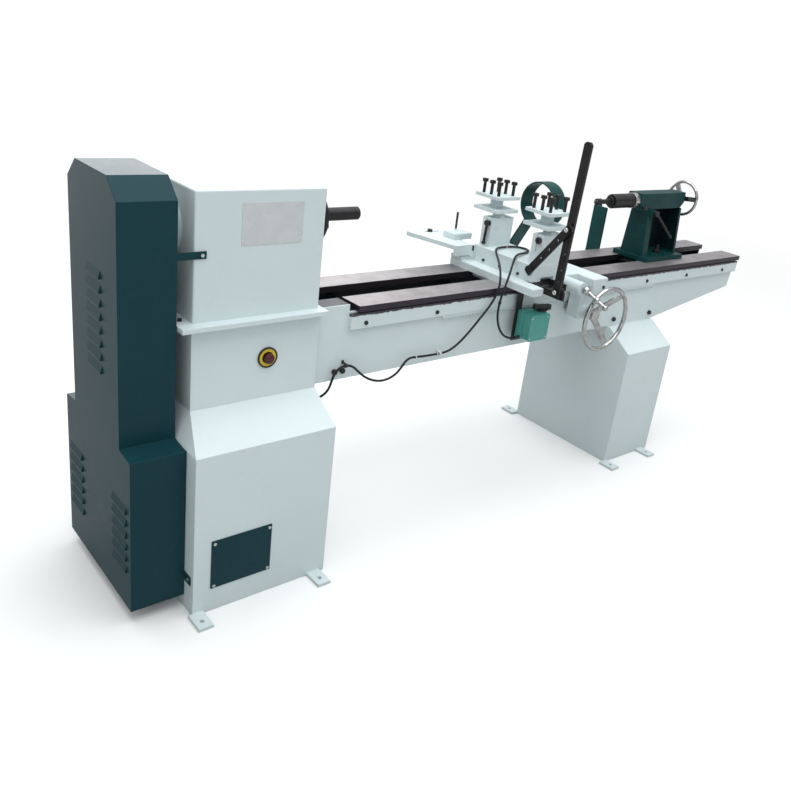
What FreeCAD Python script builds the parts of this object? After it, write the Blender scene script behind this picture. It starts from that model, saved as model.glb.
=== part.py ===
import FreeCAD, Part
import math
import os
import re

Vector = FreeCAD.Vector
Rotation = FreeCAD.Rotation

# Wood copy lathe. X runs along the bed, from the headstock to the tailstock.
# The operator stands on the -Y side. Z = 0 is the floor.
# The origin is the middle of the column's four floor bolts.
SIZES = {
    "spindle_high": 1100,      # work axis above the floor
    # column under the headstock
    "column_left": -212,
    "column_right": 243,
    "column_deep": 299,        # half depth at the floor
    "shoulder_low": 521,
    "shoulder_high": 600,
    "neck_left": -170,
    "neck_deep": 168,          # half depth above the shoulder
    "column_top": 846,
    "sheet_wall": 4,
    "panel_x": -158,
    "panel_z": 80,
    "panel_wide": 196,
    "panel_high": 162,
    "panel_thick": 3,
    "panel_rim": 14,
    # floor tabs
    "foot_wide": 46,
    "foot_out": 72,
    "foot_thick": 10,
    "foot_pitch": 404,
    "foot_hole_out": 42,
    "foot_hole": 7,
    "leg_foot_pitch": 262,
    # headstock
    "base_left": -211,
    "base_right": 251,
    "base_deep": 201,
    "base_thick": 14,
    "head_left": -166,
    "head_right": 237,
    "head_deep": 164,
    "head_high": 360,
    "head_wall": 14,
    "cover_radius": 90,
    "cover_long": 38,
    "cap_radius": 92,
    "cap_long": 16,
    "bearing_radius": 46,
    "bearing_long": 30,
    # spindle and drive
    "spindle_radius": 22,
    "spindle_start": -345,
    "nose_radius": 21,
    "nose_end": 470,
    "plate_radius": 80,
    "plate_x": 296,
    "plate_thick": 12,
    "pulley_x": -332,
    "pulley_wide": 60,
    "pulley_radius": 92,
    "motor_pulley": 52,
    "motor_high": 300,
    "motor_radius": 105,
    "motor_x": -178,
    "motor_long": 270,
    "motor_shaft": 14,
    "belt_depth": 9,
    "bore_gap": 0.05,
    # belt guard
    "guard_left": -372,
    "guard_right": -214,
    "guard_sheet": 2,
    "guard_top": 1250,
    "guard_deep": 170,
    "guard_chamfer": 53,
    "guard_flat": 110,
    "guard_step": 529,
    "guard_floor": 45,
    "guard_low_deep": 244,
    "louvre_wide": 100,
    "louvre_pitch": 38,
    "louvre_out": 6,
    "louvre_tall": 24,
    # bed
    "beam_front": 135,         # outer faces of the two beams, from the centre plane
    "beam_back": 65,
    "beam_low": 593,
    "beam_high": 822,
    "beam_web": 8,
    "block_right": 376,
    "block_high": 845,
    "taper_start": 2054,
    "taper_end": 2654,
    "taper_rise": 94,
    "bed_end": 2674,
    "rail_start": 400,
    "rear_rail_start": 262,
    "rail_out": 154,
    "rail_in": 54,
    "rail_thick": 20,
    "strip_low": 764,
    "strip_high": 815,
    "strip_thick": 14,
    "strip_bolt_x": 434,
    "strip_bolt_pitch": 302.1,
    "strip_bolt_z": 782,
    "strip_bolts": 8,
    "tie_first": 470,
    "tie_pitch": 540,
    "boss_radius": 26,
    "boss_long": 106,
    "rack_start": 772,
    "rack_high": 14,
    "rack_thick": 12,
    "tooth_module": 4,
    # leg under the tail end
    "leg_left": 1747,
    "leg_right": 2054,
    "leg_deep": 270,
    "leg_shoulder": 511,
    "leg_neck": 150,
    # template post behind the bed
    "post_x": 1975,
    "post_near": 158,
    "post_far": 232,
    "post_low": 650,
    "post_high": 1028,
    "post_thick": 8,
    # stop button
    "stop_x": 68,
    "stop_z": 728,
    "stop_radius": 32,
    # carriage
    "bar_left": 1058,
    "bar_wide": 52,
    "bar_front": 282,
    "bar_rear": 160,
    "saddle_high": 30,
    "wing_left": 1413,
    "wing_wide": 86,
    "wing_front": 266,
    "saddle_front": 190,
    "saddle_rear": 150,
    "key_half": 53.8,
    "slide_left": 1113,
    "slide_wide": 165,
    "slide_front": 217,
    "slide_rear": 96,
    "slide_high": 60,
    "tenon_wide": 70,
    "tenon_high": 14,
    # tool posts
    "tool_x": 1138,
    "tool_wide": 116,
    "tool_deep": 48,
    "tool_high": 110,
    "tool_gap": 262,
    "clamp_plate": 118,
    "clamp_reach": 122,
    "clamp_thick": 12,
    "clamp_low": 1062,
    "clamp_up": 1112,
    "clamp_shift": 21,
    "neck_radius": 20,
    "clamp_bolt": 6,
    "clamp_bolt_high": 53,
    # ring that steadies the work
    "ring_x": 1321,
    "ring_wide": 64,
    "ring_radius": 87,
    "ring_thick": 5,
    "strap_y": 50,             # where the ring's flat arm leaves the ring
    "strap_lean": 62,
    # hand lever and link
    "lever_x": 1113,
    "lever_thick": 10,
    "lever_wide": 32,
    "lever_y": -336,
    "lever_z": 872,
    "lever_long": 521,
    "lever_lean": 1.9,
    "link_arm": 226,
    "link_thick": 8,
    "link_wide": 28,
    "link_end_y": -206,
    "link_end_z": 920,
    "link_gap": 2,
    "pivot_radius": 6,
    # feed handwheel
    "wheel_x": 1453,
    "wheel_y": -324,
    "wheel_z": 726,
    "wheel_radius": 130,
    "rim_radius": 9,
    "wheel_dish": 60,
    "feed_shaft": 10,
    "pinion_teeth": 12,
    # switch
    "switch_x": 1128,
    "switch_wide": 100,
    "switch_back": 167,
    "switch_deep": 74,
    "switch_low": 645,
    "switch_high": 107,
    # tailstock
    "tail_left": 1990,
    "tail_long": 280,
    "tail_deep": 90,
    "tail_base": 20,
    "tail_body_left": 2000,
    "tail_body_long": 250,
    "tail_body_deep": 60,
    "tail_wall": 14,
    "tail_front_wall": 36,
    "barrel_left": 1942,
    "barrel_long": 325,
    "barrel_deep": 36,
    "barrel_low": 1065,
    "barrel_high": 1134,
    "quill_radius": 24,
    "collar_radius": 33,
    "collar_x": 1912,
    "centre_x": 1780,
    "centre_radius": 30,
    "centre_tip": 1672,
    "tail_wheel_out": 39,
    "tail_wheel_radius": 80,
    "tail_rim": 7,
    # cables
    "cable_radius": 4,
    "clip_x": 366,
    "clip_z": 646,
    "far_clip_x": 770,
    "far_clip_z": 626,
    "clip_out": 19,            # the cable's distance from the beam's face
    "clip_wide": 8,
    "clip_gap": 0.6,
    "gland_y": -120,
    "gland_z": 530,
    "gland_flange": 8,
    "gland_neck": 12,
    "switch_gland_z": 657,
    "switch_gland_long": 12,
}

os.makedirs("parts", exist_ok=True)
doc = FreeCAD.newDocument("CopyLathe")
sheet = doc.addObject("Spreadsheet::Sheet", "Sizes")
for row, (alias, value) in enumerate(SIZES.items(), start=1):
    sheet.set("A%d" % row, alias)
    sheet.set("B%d" % row, str(value))
    sheet.setAlias("B%d" % row, alias)
doc.recompute()

nodes = []          # the finished pieces, one file each


def size(name):
    return float(getattr(sheet, name))


def inSheet(word):
    return "Sizes." + word.group(0) if word.group(0) in SIZES else word.group(0)


def formula(text):
    """A formula in plain size names, with the sheet's name put before each."""
    return re.sub(r"[a-z]\w+", inSheet, text)


def bind(item, prop, text):
    item.setExpression(prop, formula(str(text)))


def keep(piece, name=None):
    """Marks a finished piece, which becomes one file."""
    if name:
        piece.Label = name
    nodes.append(piece)
    return piece


def box(name, start, extent):
    """A block from its low corner; both are given as formulas in size names."""
    piece = doc.addObject("Part::Box", name)
    for axis, text in zip("xyz", start):
        bind(piece, "Placement.Base." + axis, text)
    for prop, text in zip(("Length", "Width", "Height"), extent):
        bind(piece, prop, text)
    return piece


TURNS = {
    "x": Rotation(Vector(0, 1, 0), 90),
    "y": Rotation(Vector(1, 0, 0), -90),
    "z": Rotation(),
}


def rod(name, start, axis, radius, long):
    """A round bar that starts at a point and runs along +X, +Y or +Z."""
    piece = doc.addObject("Part::Cylinder", name)
    piece.Placement = FreeCAD.Placement(Vector(), TURNS[axis])
    for letter, text in zip("xyz", start):
        bind(piece, "Placement.Base." + letter, text)
    bind(piece, "Radius", radius)
    bind(piece, "Height", long)
    return piece


def join(name, pieces):
    whole = doc.addObject("Part::MultiFuse", name)
    whole.Shapes = pieces
    return whole


def cut(name, base, tools):
    piece = doc.addObject("Part::Cut", name)
    piece.Base = base
    piece.Tool = tools[0] if len(tools) == 1 else join(name + "_openings", tools)
    return piece


def group(name, pieces):
    """Like pieces that share one node, each still a solid of its own."""
    whole = doc.addObject("Part::Compound", name)
    whole.Links = pieces
    return whole


def shaped(name, shape):
    """A piece whose form is worked out here from the sheet."""
    piece = doc.addObject("Part::Feature", name)
    piece.Shape = shape
    return piece


def corner(plane, first, second, along):
    """A point of a flat outline: the plane's two axes, then the third one."""
    if plane == "XZ":
        return Vector(first, along, second)
    if plane == "YZ":
        return Vector(along, first, second)
    return Vector(first, second, along)


def outline(plane, points, along):
    wire = [corner(plane, first, second, along) for first, second in points]
    return Part.Face(Part.makePolygon(wire + wire[:1]))


def prism(plane, points, start, end):
    """An outline swept straight from one level to another."""
    path = corner(plane, 0, 0, end) - corner(plane, 0, 0, start)
    return outline(plane, points, start).extrude(path)


def frustum(lower, upper):
    """A block between two level rectangles: left, right, half depth, height."""
    rims = []
    for left, right, deep, level in (lower, upper):
        rims.append(Part.makePolygon([
            Vector(left, -deep, level), Vector(right, -deep, level),
            Vector(right, deep, level), Vector(left, deep, level), Vector(left, -deep, level)]))
    return Part.makeLoft(rims, True, True)


def barrel(start, axis, radius, long):
    return Part.makeCylinder(radius, long, start, axis)


def hexBolt(seat, axis, shank, length, across, thick):
    """A hexagon bolt: its head stands on the seat, its shank goes the other way."""
    turn = Rotation(Vector(0, 0, 1), axis)
    ring = [turn.multVec(Vector(across / 2 / math.cos(math.pi / 6), 0, 0))]
    for step in range(1, 6):
        ring.append(Rotation(axis, 60 * step).multVec(ring[0]))
    ring = [seat + point for point in ring]
    head = Part.Face(Part.makePolygon(ring + ring[:1])).extrude(axis * thick)
    return head.fuse(barrel(seat, axis * -1, shank, length))


def toothedWheel(teeth, module, gap):
    """The outline of a small gear with straight flanks, one tooth pointing up."""
    pitch = teeth * module / 2
    half = math.pi * module / 4 - gap
    root, tip = pitch - 1.15 * module, pitch + 0.85 * module
    rootHalf, tipHalf = half * 1.6, half * 0.45
    points = []
    for tooth in range(teeth):
        middle = math.pi / 2 + 2 * math.pi * tooth / teeth
        for radius, across in ((root, -rootHalf), (tip, -tipHalf), (tip, tipHalf), (root, rootHalf)):
            points.append((radius, middle + across / radius))
    return [(r * math.cos(a), r * math.sin(a)) for r, a in points]


def handwheel(radius, rim, dish, hub, hubLong, spokes, turn, bore):
    """A dished wheel about +Z: the rim's plane is Z = 0, the hub lies below it."""
    whole = Part.makeTorus(radius - rim, rim)
    whole = whole.fuse(barrel(Vector(0, 0, -dish - hubLong / 2), Vector(0, 0, 1), hub, hubLong))
    for step in range(spokes):
        reach = radius - rim
        thick = rim * 0.5
        side = [(hub * 0.6, -dish - thick), (hub * 0.6, -dish + thick), (reach, thick), (reach, -thick)]
        spoke = prism("XZ", side, -rim * 1.5, rim * 1.5)
        spoke.rotate(Vector(), Vector(0, 0, 1), turn + step * 360 / spokes)
        whole = whole.fuse(spoke)
    return whole.cut(barrel(Vector(0, 0, -dish - hubLong), Vector(0, 0, 1), bore, 2 * hubLong + dish))


AX = Vector(1, 0, 0)
AY = Vector(0, 1, 0)
AZ = Vector(0, 0, 1)

# Column: sheet cabinet, wide at the floor, with sloped shoulders and a narrower neck
columnLeft, columnRight, columnDeep = size("column_left"), size("column_right"), size("column_deep")
neckLeft, neckDeep = size("neck_left"), size("neck_deep")
wall = size("sheet_wall")
headAxis = size("spindle_high")


def columnBody(inset, low, high):
    floor = (columnLeft + inset, columnRight - inset, columnDeep - inset)
    neck = (neckLeft + inset, columnRight - inset, neckDeep - inset)
    shoulder = size("shoulder_low") - inset * 0.4
    collar = size("shoulder_high") - inset * 0.4
    lower = frustum(floor + (low,), floor + (shoulder,))
    slope = frustum(floor + (shoulder,), neck + (collar,))
    upper = frustum(neck + (collar,), neck + (high,))
    return lower.fuse([slope, upper]).removeSplitter()


panelLeft, panelLow, rim = size("panel_x"), size("panel_z"), size("panel_rim")
panelWide, panelHigh = size("panel_wide"), size("panel_high")
doorway = Part.makeBox(panelWide - 2 * rim, 3 * wall, panelHigh - 2 * rim,
                       Vector(panelLeft + rim, -columnDeep - wall, panelLow + rim))
shaftHole = barrel(Vector(columnLeft - wall, 0, size("motor_high")), AX, 34, 3 * wall)
stopHole = barrel(Vector(size("stop_x"), -neckDeep - wall, size("stop_z")), AY, 12, 3 * wall)
glandAt = Vector(columnRight, size("gland_y"), size("gland_z"))
glandHole = barrel(glandAt - AX * 2 * wall, AX, 10, 4 * wall)
cabinet = columnBody(0, 0, size("column_top")).cut(columnBody(wall, -wall, size("column_top") - wall))
shelfTop = size("motor_high") - size("motor_radius") - 4
shelf = Part.makeBox(columnRight - columnLeft - 2 * wall, 2 * (columnDeep - wall), 6,
                     Vector(columnLeft + wall, -columnDeep + wall, shelfTop - 6))


def floorTabs(middle, pitch, deep):
    tabs = []
    wide, out, thick = size("foot_wide"), size("foot_out"), size("foot_thick")
    for x in (middle - pitch / 2, middle + pitch / 2):
        for side in (-1, 1):
            near = deep * side if side > 0 else -deep - out
            tab = Part.makeBox(wide, out, thick, Vector(x - wide / 2, near, 0))
            hole = Vector(x, side * (deep + size("foot_hole_out")), -1)
            tabs.append(tab.cut(barrel(hole, AZ, size("foot_hole"), thick + 2)))
    return tabs


cabinet = cabinet.fuse([shelf] + floorTabs(0, size("foot_pitch"), columnDeep))
keep(shaped("column", cabinet.cut([doorway, shaftHole, stopHole, glandHole])))

panel = box("access_panel", ("panel_x", "-column_deep - panel_thick", "panel_z"),
            ("panel_wide", "panel_thick", "panel_high"))
keep(panel)
panelScrews = []
for x in (panelLeft + 9, panelLeft + panelWide - 9):
    for z in (panelLow + 9, panelLow + panelHigh - 9):
        seat = Vector(x, -columnDeep - size("panel_thick"), z)
        panelScrews.append(barrel(seat - AY * 3, AY, 5, 3))


# Headstock: base plate, box casting with two bearings, covers and bolts
baseTop = size("column_top") + size("base_thick")
headLeft, headRight, headDeep = size("head_left"), size("head_right"), size("head_deep")
headTop = baseTop + size("head_high")
basePlate = box("headstock_base", ("base_left", "-base_deep", "column_top"),
                ("base_right - base_left", "2 * base_deep", "base_thick"))
boltSpots = []
for x in (headLeft - 22, headRight + 8):
    for y in (-0.8 * headDeep, -0.25 * headDeep, 0.25 * headDeep, 0.8 * headDeep):
        boltSpots.append(Vector(x, y, baseTop))
headBolts = [hexBolt(spot, AZ, 4, size("base_thick"), 12, 7) for spot in boltSpots]
basePlateHoles = shaped("headstock_base_holes",
                        Part.makeCompound([barrel(spot - AZ * 20, AZ, 4, 30) for spot in boltSpots]))
keep(cut("headstock_plate", basePlate, [basePlateHoles]))

shell = Part.makeBox(headRight - headLeft, 2 * headDeep, headTop - baseTop,
                     Vector(headLeft, -headDeep, baseTop))
shell = shell.makeFillet(5, [edge for edge in shell.Edges if edge.BoundBox.ZMax > headTop - 1])
skin = size("head_wall")
hollow = Part.makeBox(headRight - headLeft - 2 * skin, 2 * (headDeep - skin), headTop - baseTop - skin,
                      Vector(headLeft + skin, -headDeep + skin, baseTop))
casting = shell.cut(hollow)
seatLong, seatRadius = size("bearing_long"), size("bearing_radius")
for x in (headLeft, headRight - seatLong):
    seat = Vector(x, 0, headAxis)
    casting = casting.fuse(barrel(seat, AX, seatRadius + 14, seatLong))
    casting = casting.cut(barrel(seat - AX, AX, seatRadius, seatLong + 2))
keep(shaped("headstock_housing", casting.removeSplitter()))

spindleRadius, gap = size("spindle_radius"), size("bore_gap")
bearings = []
for x in (headLeft, headRight - seatLong):
    seat = Vector(x, 0, headAxis)
    ring = barrel(seat, AX, seatRadius, seatLong).cut(barrel(seat, AX, spindleRadius + gap, seatLong))
    bearings.append(ring)
keep(shaped("spindle_bearings", Part.makeCompound(bearings)))
cover = rod("rear_cover_body", ("head_left - cover_long", 0, "spindle_high"), "x",
            "cover_radius", "cover_long")
coverBore = rod("rear_cover_bore", ("head_left - cover_long", 0, "spindle_high"), "x",
                "spindle_radius + 2", "cover_long")
cap = rod("front_cap_body", ("head_right", 0, "spindle_high"), "x", "cap_radius", "cap_long")
capBore = rod("front_cap_bore", ("head_right", 0, "spindle_high"), "x", "spindle_radius + 2", "cap_long")
keep(group("bearing_covers", [cut("rear_cover", cover, [coverBore]), cut("front_cap", cap, [capBore])]))

# Spindle with its plate and pulley; the nose takes a centre or a chuck
plateX, plateThick = size("plate_x"), size("plate_thick")
noseStart, noseEnd = plateX + plateThick + 14, size("nose_end")
shaftStart = Vector(size("spindle_start"), 0, headAxis)
shaft = barrel(shaftStart, AX, spindleRadius, noseStart - shaftStart.x)
shaft = shaft.fuse(barrel(Vector(noseStart, 0, headAxis), AX, size("nose_radius"), noseEnd - noseStart))
shaft = shaft.makeChamfer(2, [edge for edge in shaft.Edges if edge.BoundBox.XMin > noseEnd - 1e-3])
keep(shaped("spindle_shaft", shaft))
hubStart = headRight + size("cap_long") + 3
plate = barrel(Vector(hubStart, 0, headAxis), AX, 42, plateX - hubStart)
plate = plate.fuse(barrel(Vector(plateX, 0, headAxis), AX, size("plate_radius"), plateThick))
plate = plate.fuse(barrel(Vector(plateX + plateThick, 0, headAxis), AX, 30, noseStart - plateX - plateThick))
plate = plate.cut(barrel(Vector(hubStart, 0, headAxis), AX, spindleRadius, noseStart - hubStart))
plateBolts = []
for step in range(4):
    turn = math.radians(20 + 90 * step)
    reach = size("plate_radius") - 20
    seat = Vector(plateX + plateThick, reach * math.cos(turn), headAxis + reach * math.sin(turn))
    plateBolts.append(hexBolt(seat, AX, 6, plateThick, 18, 11))
    plate = plate.cut(barrel(seat - AX * plateThick, AX, 6, plateThick))
keep(shaped("spindle_plate", Part.makeCompound([plate] + plateBolts)))

grooves = 3
pitchX = size("pulley_wide") / grooves
beltDeep = size("belt_depth")


def grooved(radius, bore, height):
    """A V-belt pulley about the X axis."""
    start, wide = size("pulley_x"), size("pulley_wide")
    points = [(start, bore), (start, radius)]
    for groove in range(grooves):
        middle = start + pitchX * (groove + 0.5)
        points += [(middle - 7, radius), (middle - 4.5, radius - beltDeep),
                   (middle + 4.5, radius - beltDeep), (middle + 7, radius)]
    points += [(start + wide, radius), (start + wide, bore)]
    ring = outline("XZ", points, 0).revolve(Vector(), AX, 360)
    ring.translate(Vector(0, 0, height))
    return ring


keep(shaped("spindle_pulley", grooved(size("pulley_radius"), spindleRadius, headAxis)))


def loopWire(x, big, small, apart):
    """The outline round two wheels: one at the work axis, one below it."""
    lean = math.asin((big - small) / apart)
    top, low = Vector(x, 0, headAxis), Vector(x, 0, headAxis - apart)

    def onWheel(middle, radius, turn):
        return middle + Vector(0, radius * math.cos(turn), radius * math.sin(turn))

    right, left, under = -lean, math.pi + lean, -math.pi / 2
    edges = [
        Part.Arc(onWheel(top, big, left), onWheel(top, big, math.pi / 2), onWheel(top, big, right)).toShape(),
        Part.LineSegment(onWheel(top, big, right), onWheel(low, small, right)).toShape(),
        Part.Arc(onWheel(low, small, right), onWheel(low, small, under), onWheel(low, small, left)).toShape(),
        Part.LineSegment(onWheel(low, small, left), onWheel(top, big, left)).toShape(),
    ]
    return Part.Wire(edges)


apart = headAxis - size("motor_high")
belts = []
for groove in range(grooves):
    x = size("pulley_x") + pitchX * (groove + 0.5) - 4
    big, small = size("pulley_radius"), size("motor_pulley")
    outer = Part.Face(loopWire(x, big + 1, small + 1, apart)).extrude(AX * 8)
    inner = Part.Face(loopWire(x, big - beltDeep + 0.4, small - beltDeep + 0.4, apart)).extrude(AX * 8)
    belts.append(outer.cut(inner))
keep(shaped("drive_belts", Part.makeCompound(belts)))

# Motor inside the column, on a shelf
motorHigh, motorX = size("motor_high"), size("motor_x")
motor = barrel(Vector(motorX, 0, motorHigh), AX, size("motor_radius"), size("motor_long"))
motor = motor.fuse(barrel(Vector(motorX - 18, 0, motorHigh), AX, 60, size("motor_long") + 36))
motor = motor.fuse(Part.makeBox(180, 220, 14, Vector(motorX + 45, -110, shelfTop)))
motor = motor.fuse(Part.makeBox(110, 90, 60, Vector(motorX + 80, -45, motorHigh + size("motor_radius") - 20)))
motor = motor.cut(barrel(Vector(motorX - 40, 0, motorHigh), AX, size("motor_shaft") + gap, 140))
keep(shaped("motor", motor))
rotor = barrel(Vector(size("spindle_start"), 0, motorHigh), AX, size("motor_shaft"),
               motorX + 80 - size("spindle_start"))
keep(shaped("motor_pulley", rotor.fuse(grooved(size("motor_pulley"), size("motor_shaft"), motorHigh))))

# Belt guard: one folded sheet shell, narrow above, wide below, with pressed louvres
guardLeft, guardRight, sheetThick = size("guard_left"), size("guard_right"), size("guard_sheet")
deep, lowDeep, flat = size("guard_deep"), size("guard_low_deep"), size("guard_flat")
top, step, chamfer = size("guard_top"), size("guard_step"), size("guard_chamfer")
half = [(lowDeep, size("guard_floor")), (lowDeep, step - 8), (deep, step), (deep, top - chamfer), (flat, top)]
guardOutline = half + [(-y, z) for y, z in reversed(half)]
guard = prism("YZ", guardOutline, guardLeft, guardRight)
inside = outline("YZ", guardOutline, guardLeft + sheetThick).makeOffset2D(-sheetThick)
guard = guard.cut(inside.extrude(AX * (guardRight - guardLeft)))
out, tall, wide = size("louvre_out"), size("louvre_tall"), size("louvre_wide")
louvreRows = ((-8, 984, 8), (169, 364, 6), (-167, 364, 6))
for middle, start, count in louvreRows:
    for row in range(int(count)):
        low = start - tall / 2 - row * size("louvre_pitch")
        hood = [(guardLeft, low), (guardLeft - out, low), (guardLeft - out, low + 3), (guardLeft, low + tall)]
        lip, inner = guardLeft - out + 1.5, guardLeft + sheetThick + 1
        mouth = [(inner, low + 0.5), (lip, low - 1), (lip, low + 2.5),
                 (guardLeft, low + tall - 5), (inner, low + tall - 5)]
        left, right = middle - wide / 2, middle + wide / 2
        guard = guard.fuse(prism("XZ", hood, left, right))
        guard = guard.cut(prism("XZ", mouth, left + 1.5, right - 1.5))
tabs = [
    Part.makeBox(118, 4, 20, Vector(guardRight - 36, -headDeep - 4, 1040)),
    Part.makeBox(3, 42, 28, Vector(columnLeft - 3, -lowDeep - 40, 100)),
]
keep(shaped("belt_guard", guard.fuse(tabs)))
tabScrews = [
    barrel(Vector(guardRight + 70, -headDeep - 7, 1050), AY, 5, 3),
    barrel(Vector(columnLeft - 6, -lowDeep - 25, 114), AX, 5, 3),
]
keep(shaped("cover_screws", Part.makeCompound(panelScrews + tabScrews)))

# Stop button on the column's neck
stop = Vector(size("stop_x"), -neckDeep, size("stop_z"))
stopRadius = size("stop_radius")
collar = barrel(stop - AY * 4, AY, stopRadius - 4, 4).fuse(barrel(stop, AY, 12, 10))
collar = collar.cut(barrel(stop - AY * 4, AY, 8.1, 20))
stopRim = barrel(stop - AY * 5, AY, stopRadius, 5).cut(barrel(stop - AY * 5, AY, stopRadius - 4, 5))
keep(shaped("stop_collar", Part.makeCompound([collar, stopRim])))
button = barrel(stop - AY * 18, AY, 16, 7).fuse(barrel(stop - AY * 18, AY, 8, 24))
button = button.makeFillet(3, [e for e in button.Edges if abs(e.BoundBox.YMin - (stop.y - 18)) < 1e-6])
keep(shaped("stop_button", button))

# Bed: two channel beams, tied across, that carry the two flat rails
beamFront, beamBack, web = size("beam_front"), size("beam_back"), size("beam_web")
low, high = size("beam_low"), size("beam_high")
taperStart, taperEnd, bedEnd = size("taper_start"), size("taper_end"), size("bed_end")
tail = [(bedEnd, high), (bedEnd, high - 16), (taperEnd, low + size("taper_rise")),
        (taperStart, low), (columnRight, low)]
blockLeft, blockRight, blockHigh = size("base_right") + 2, size("block_right"), size("block_high")
frontOutline = tail + [(columnRight, high), (blockLeft, high), (blockLeft, blockHigh),
                       (blockRight, blockHigh), (blockRight, high)]
rearOutline = tail + [(columnRight, high)]


def channel(points, side):
    face, open_, inner = -side * beamFront, -side * beamBack, -side * (beamFront - web)
    whole = prism("XZ", points, face, open_)
    pocket = outline("XZ", tail + [(columnRight, high)], inner).makeOffset2D(-web)
    return whole.cut(pocket.extrude(Vector(0, side * beamFront, 0)))


frontBeam = channel(frontOutline, 1)
rearBeam = channel(rearOutline, -1)
keep(shaped("front_beam", frontBeam))
keep(shaped("rear_beam", rearBeam))
ties = []
tieSpots = [size("tie_first") + number * size("tie_pitch") for number in range(4)] + [bedEnd - 114]
for x in tieSpots:
    ties.append(Part.makeBox(12, 2 * (beamFront - web), 100, Vector(x, -beamFront + web, high - 132)))
keep(shaped("bed_ties", Part.makeCompound(ties)))
railTop = high + size("rail_thick")
frontRail = box("front_rail", ("rail_start", "-rail_out", "beam_high"),
                ("bed_end - rail_start", "rail_out - rail_in", "rail_thick"))
rearRail = box("rear_rail", ("rear_rail_start", "rail_in", "beam_high"),
               ("bed_end - rear_rail_start", "rail_out - rail_in", "rail_thick"))
keep(group("bed_rails", [frontRail, rearRail]))
stripSpots = []
for number in range(int(size("strip_bolts"))):
    x = size("strip_bolt_x") + number * size("strip_bolt_pitch")
    stripSpots.append(Vector(x, -beamFront - size("strip_thick"), size("strip_bolt_z")))
strip = box("edge_strip_body", ("block_right", "-beam_front - strip_thick", "strip_low"),
            ("bed_end - block_right", "strip_thick", "strip_high - strip_low"))
stripHoles = shaped("edge_strip_holes", Part.makeCompound([barrel(spot, AY, 4, 14) for spot in stripSpots]))
keep(cut("edge_strip", strip, [stripHoles]))
stripBolts = [barrel(spot - AY * 4, AY, 7, 4).fuse(barrel(spot, AY, 4, 14)) for spot in stripSpots]

module = size("tooth_module")
toothPitch = math.pi * module
wheel = Vector(size("wheel_x"), size("wheel_y"), size("wheel_z"))
pinionRadius = size("pinion_teeth") * module / 2
pitchLine = wheel.z + pinionRadius
rackTop = size("strip_low")
rackTeeth = 98
rackLeft = wheel.x - toothPitch * (54 + 0.5)
rackRight = rackLeft + toothPitch * (rackTeeth + 1)
rackRoot, rackTip = pitchLine + 1.25 * module, pitchLine - 0.8 * module
rackPoints = [(rackLeft, rackTop), (rackLeft, rackRoot)]
for tooth in range(rackTeeth):
    middle = rackLeft + toothPitch * (tooth + 1)
    rackPoints += [(middle - toothPitch * 0.28, rackRoot), (middle - toothPitch * 0.1, rackTip),
                   (middle + toothPitch * 0.1, rackTip), (middle + toothPitch * 0.28, rackRoot)]
rackPoints += [(rackRight, rackRoot), (rackRight, rackTop)]
keep(shaped("feed_rack", prism("XZ", rackPoints, -beamFront - size("rack_thick"), -beamFront)))

# Leg under the tail end
legLeft, legRight, legDeep = size("leg_left"), size("leg_right"), size("leg_deep")
legMiddle = (legLeft + legRight) / 2 - 34


def legBody(inset, lowest, highest):
    floor = (legLeft + inset, legRight - inset, legDeep - inset)
    neck = (legLeft + inset, legRight - inset, size("leg_neck") - inset)
    shoulder = size("leg_shoulder") - inset * 0.3
    return frustum(floor + (lowest,), floor + (shoulder,)).fuse(
        frustum(floor + (shoulder,), neck + (highest,))).removeSplitter()


leg = legBody(0, 0, low).cut(legBody(wall, -wall, low - wall))
keep(shaped("tail_leg", leg.fuse(floorTabs(legMiddle, size("leg_foot_pitch"), legDeep))))
jointBolts = []
for x in (columnRight + 92, columnRight + 122, legRight - 20, legLeft + 30):
    for side in (-1, 1):
        jointBolts.append(hexBolt(Vector(x, side * beamFront, low + 30), AY * side, 5, 4, 17, 10))
jointHoles = [barrel(Vector(bolt.BoundBox.Center.x, -beamFront - 1, low + 30), AY, 5, 2 * beamFront + 2)
              for bolt in jointBolts[::2]]
frontBeam = frontBeam.cut(jointHoles)
rearBeam = rearBeam.cut(jointHoles)
doc.getObject("front_beam").Shape = frontBeam
doc.getObject("rear_beam").Shape = rearBeam

# Post behind the bed that holds one end of the template
postX, postNear, postFar, postThick = size("post_x"), size("post_near"), size("post_far"), size("post_thick")
angle = [(postX, postNear), (postX + postThick, postNear), (postX + postThick, postFar - postThick),
         (postX + 50, postFar - postThick), (postX + 50, postFar), (postX, postFar)]
post = prism("XY", angle, size("post_low"), size("post_high"))
postFoot = Vector(postX, beamFront, size("post_low"))
post = post.fuse(Part.makeBox(postThick, postNear - beamFront, 90, postFoot))
post = post.fuse(Part.makeBox(50, 6, 90, postFoot))
keep(shaped("template_post", post.removeSplitter()))
postBolts = []
for z in (size("post_low") + 22, size("post_low") + 68):
    postBolts.append(hexBolt(Vector(postX + 32, beamFront + 6, z), AY, 5, 0.5, 16, 8).common(
        Part.makeBox(40, 20, 40, Vector(postX + 12, beamFront + 6, z - 20))))
keep(shaped("frame_bolts", Part.makeCompound(headBolts + stripBolts + jointBolts + postBolts)))

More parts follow.
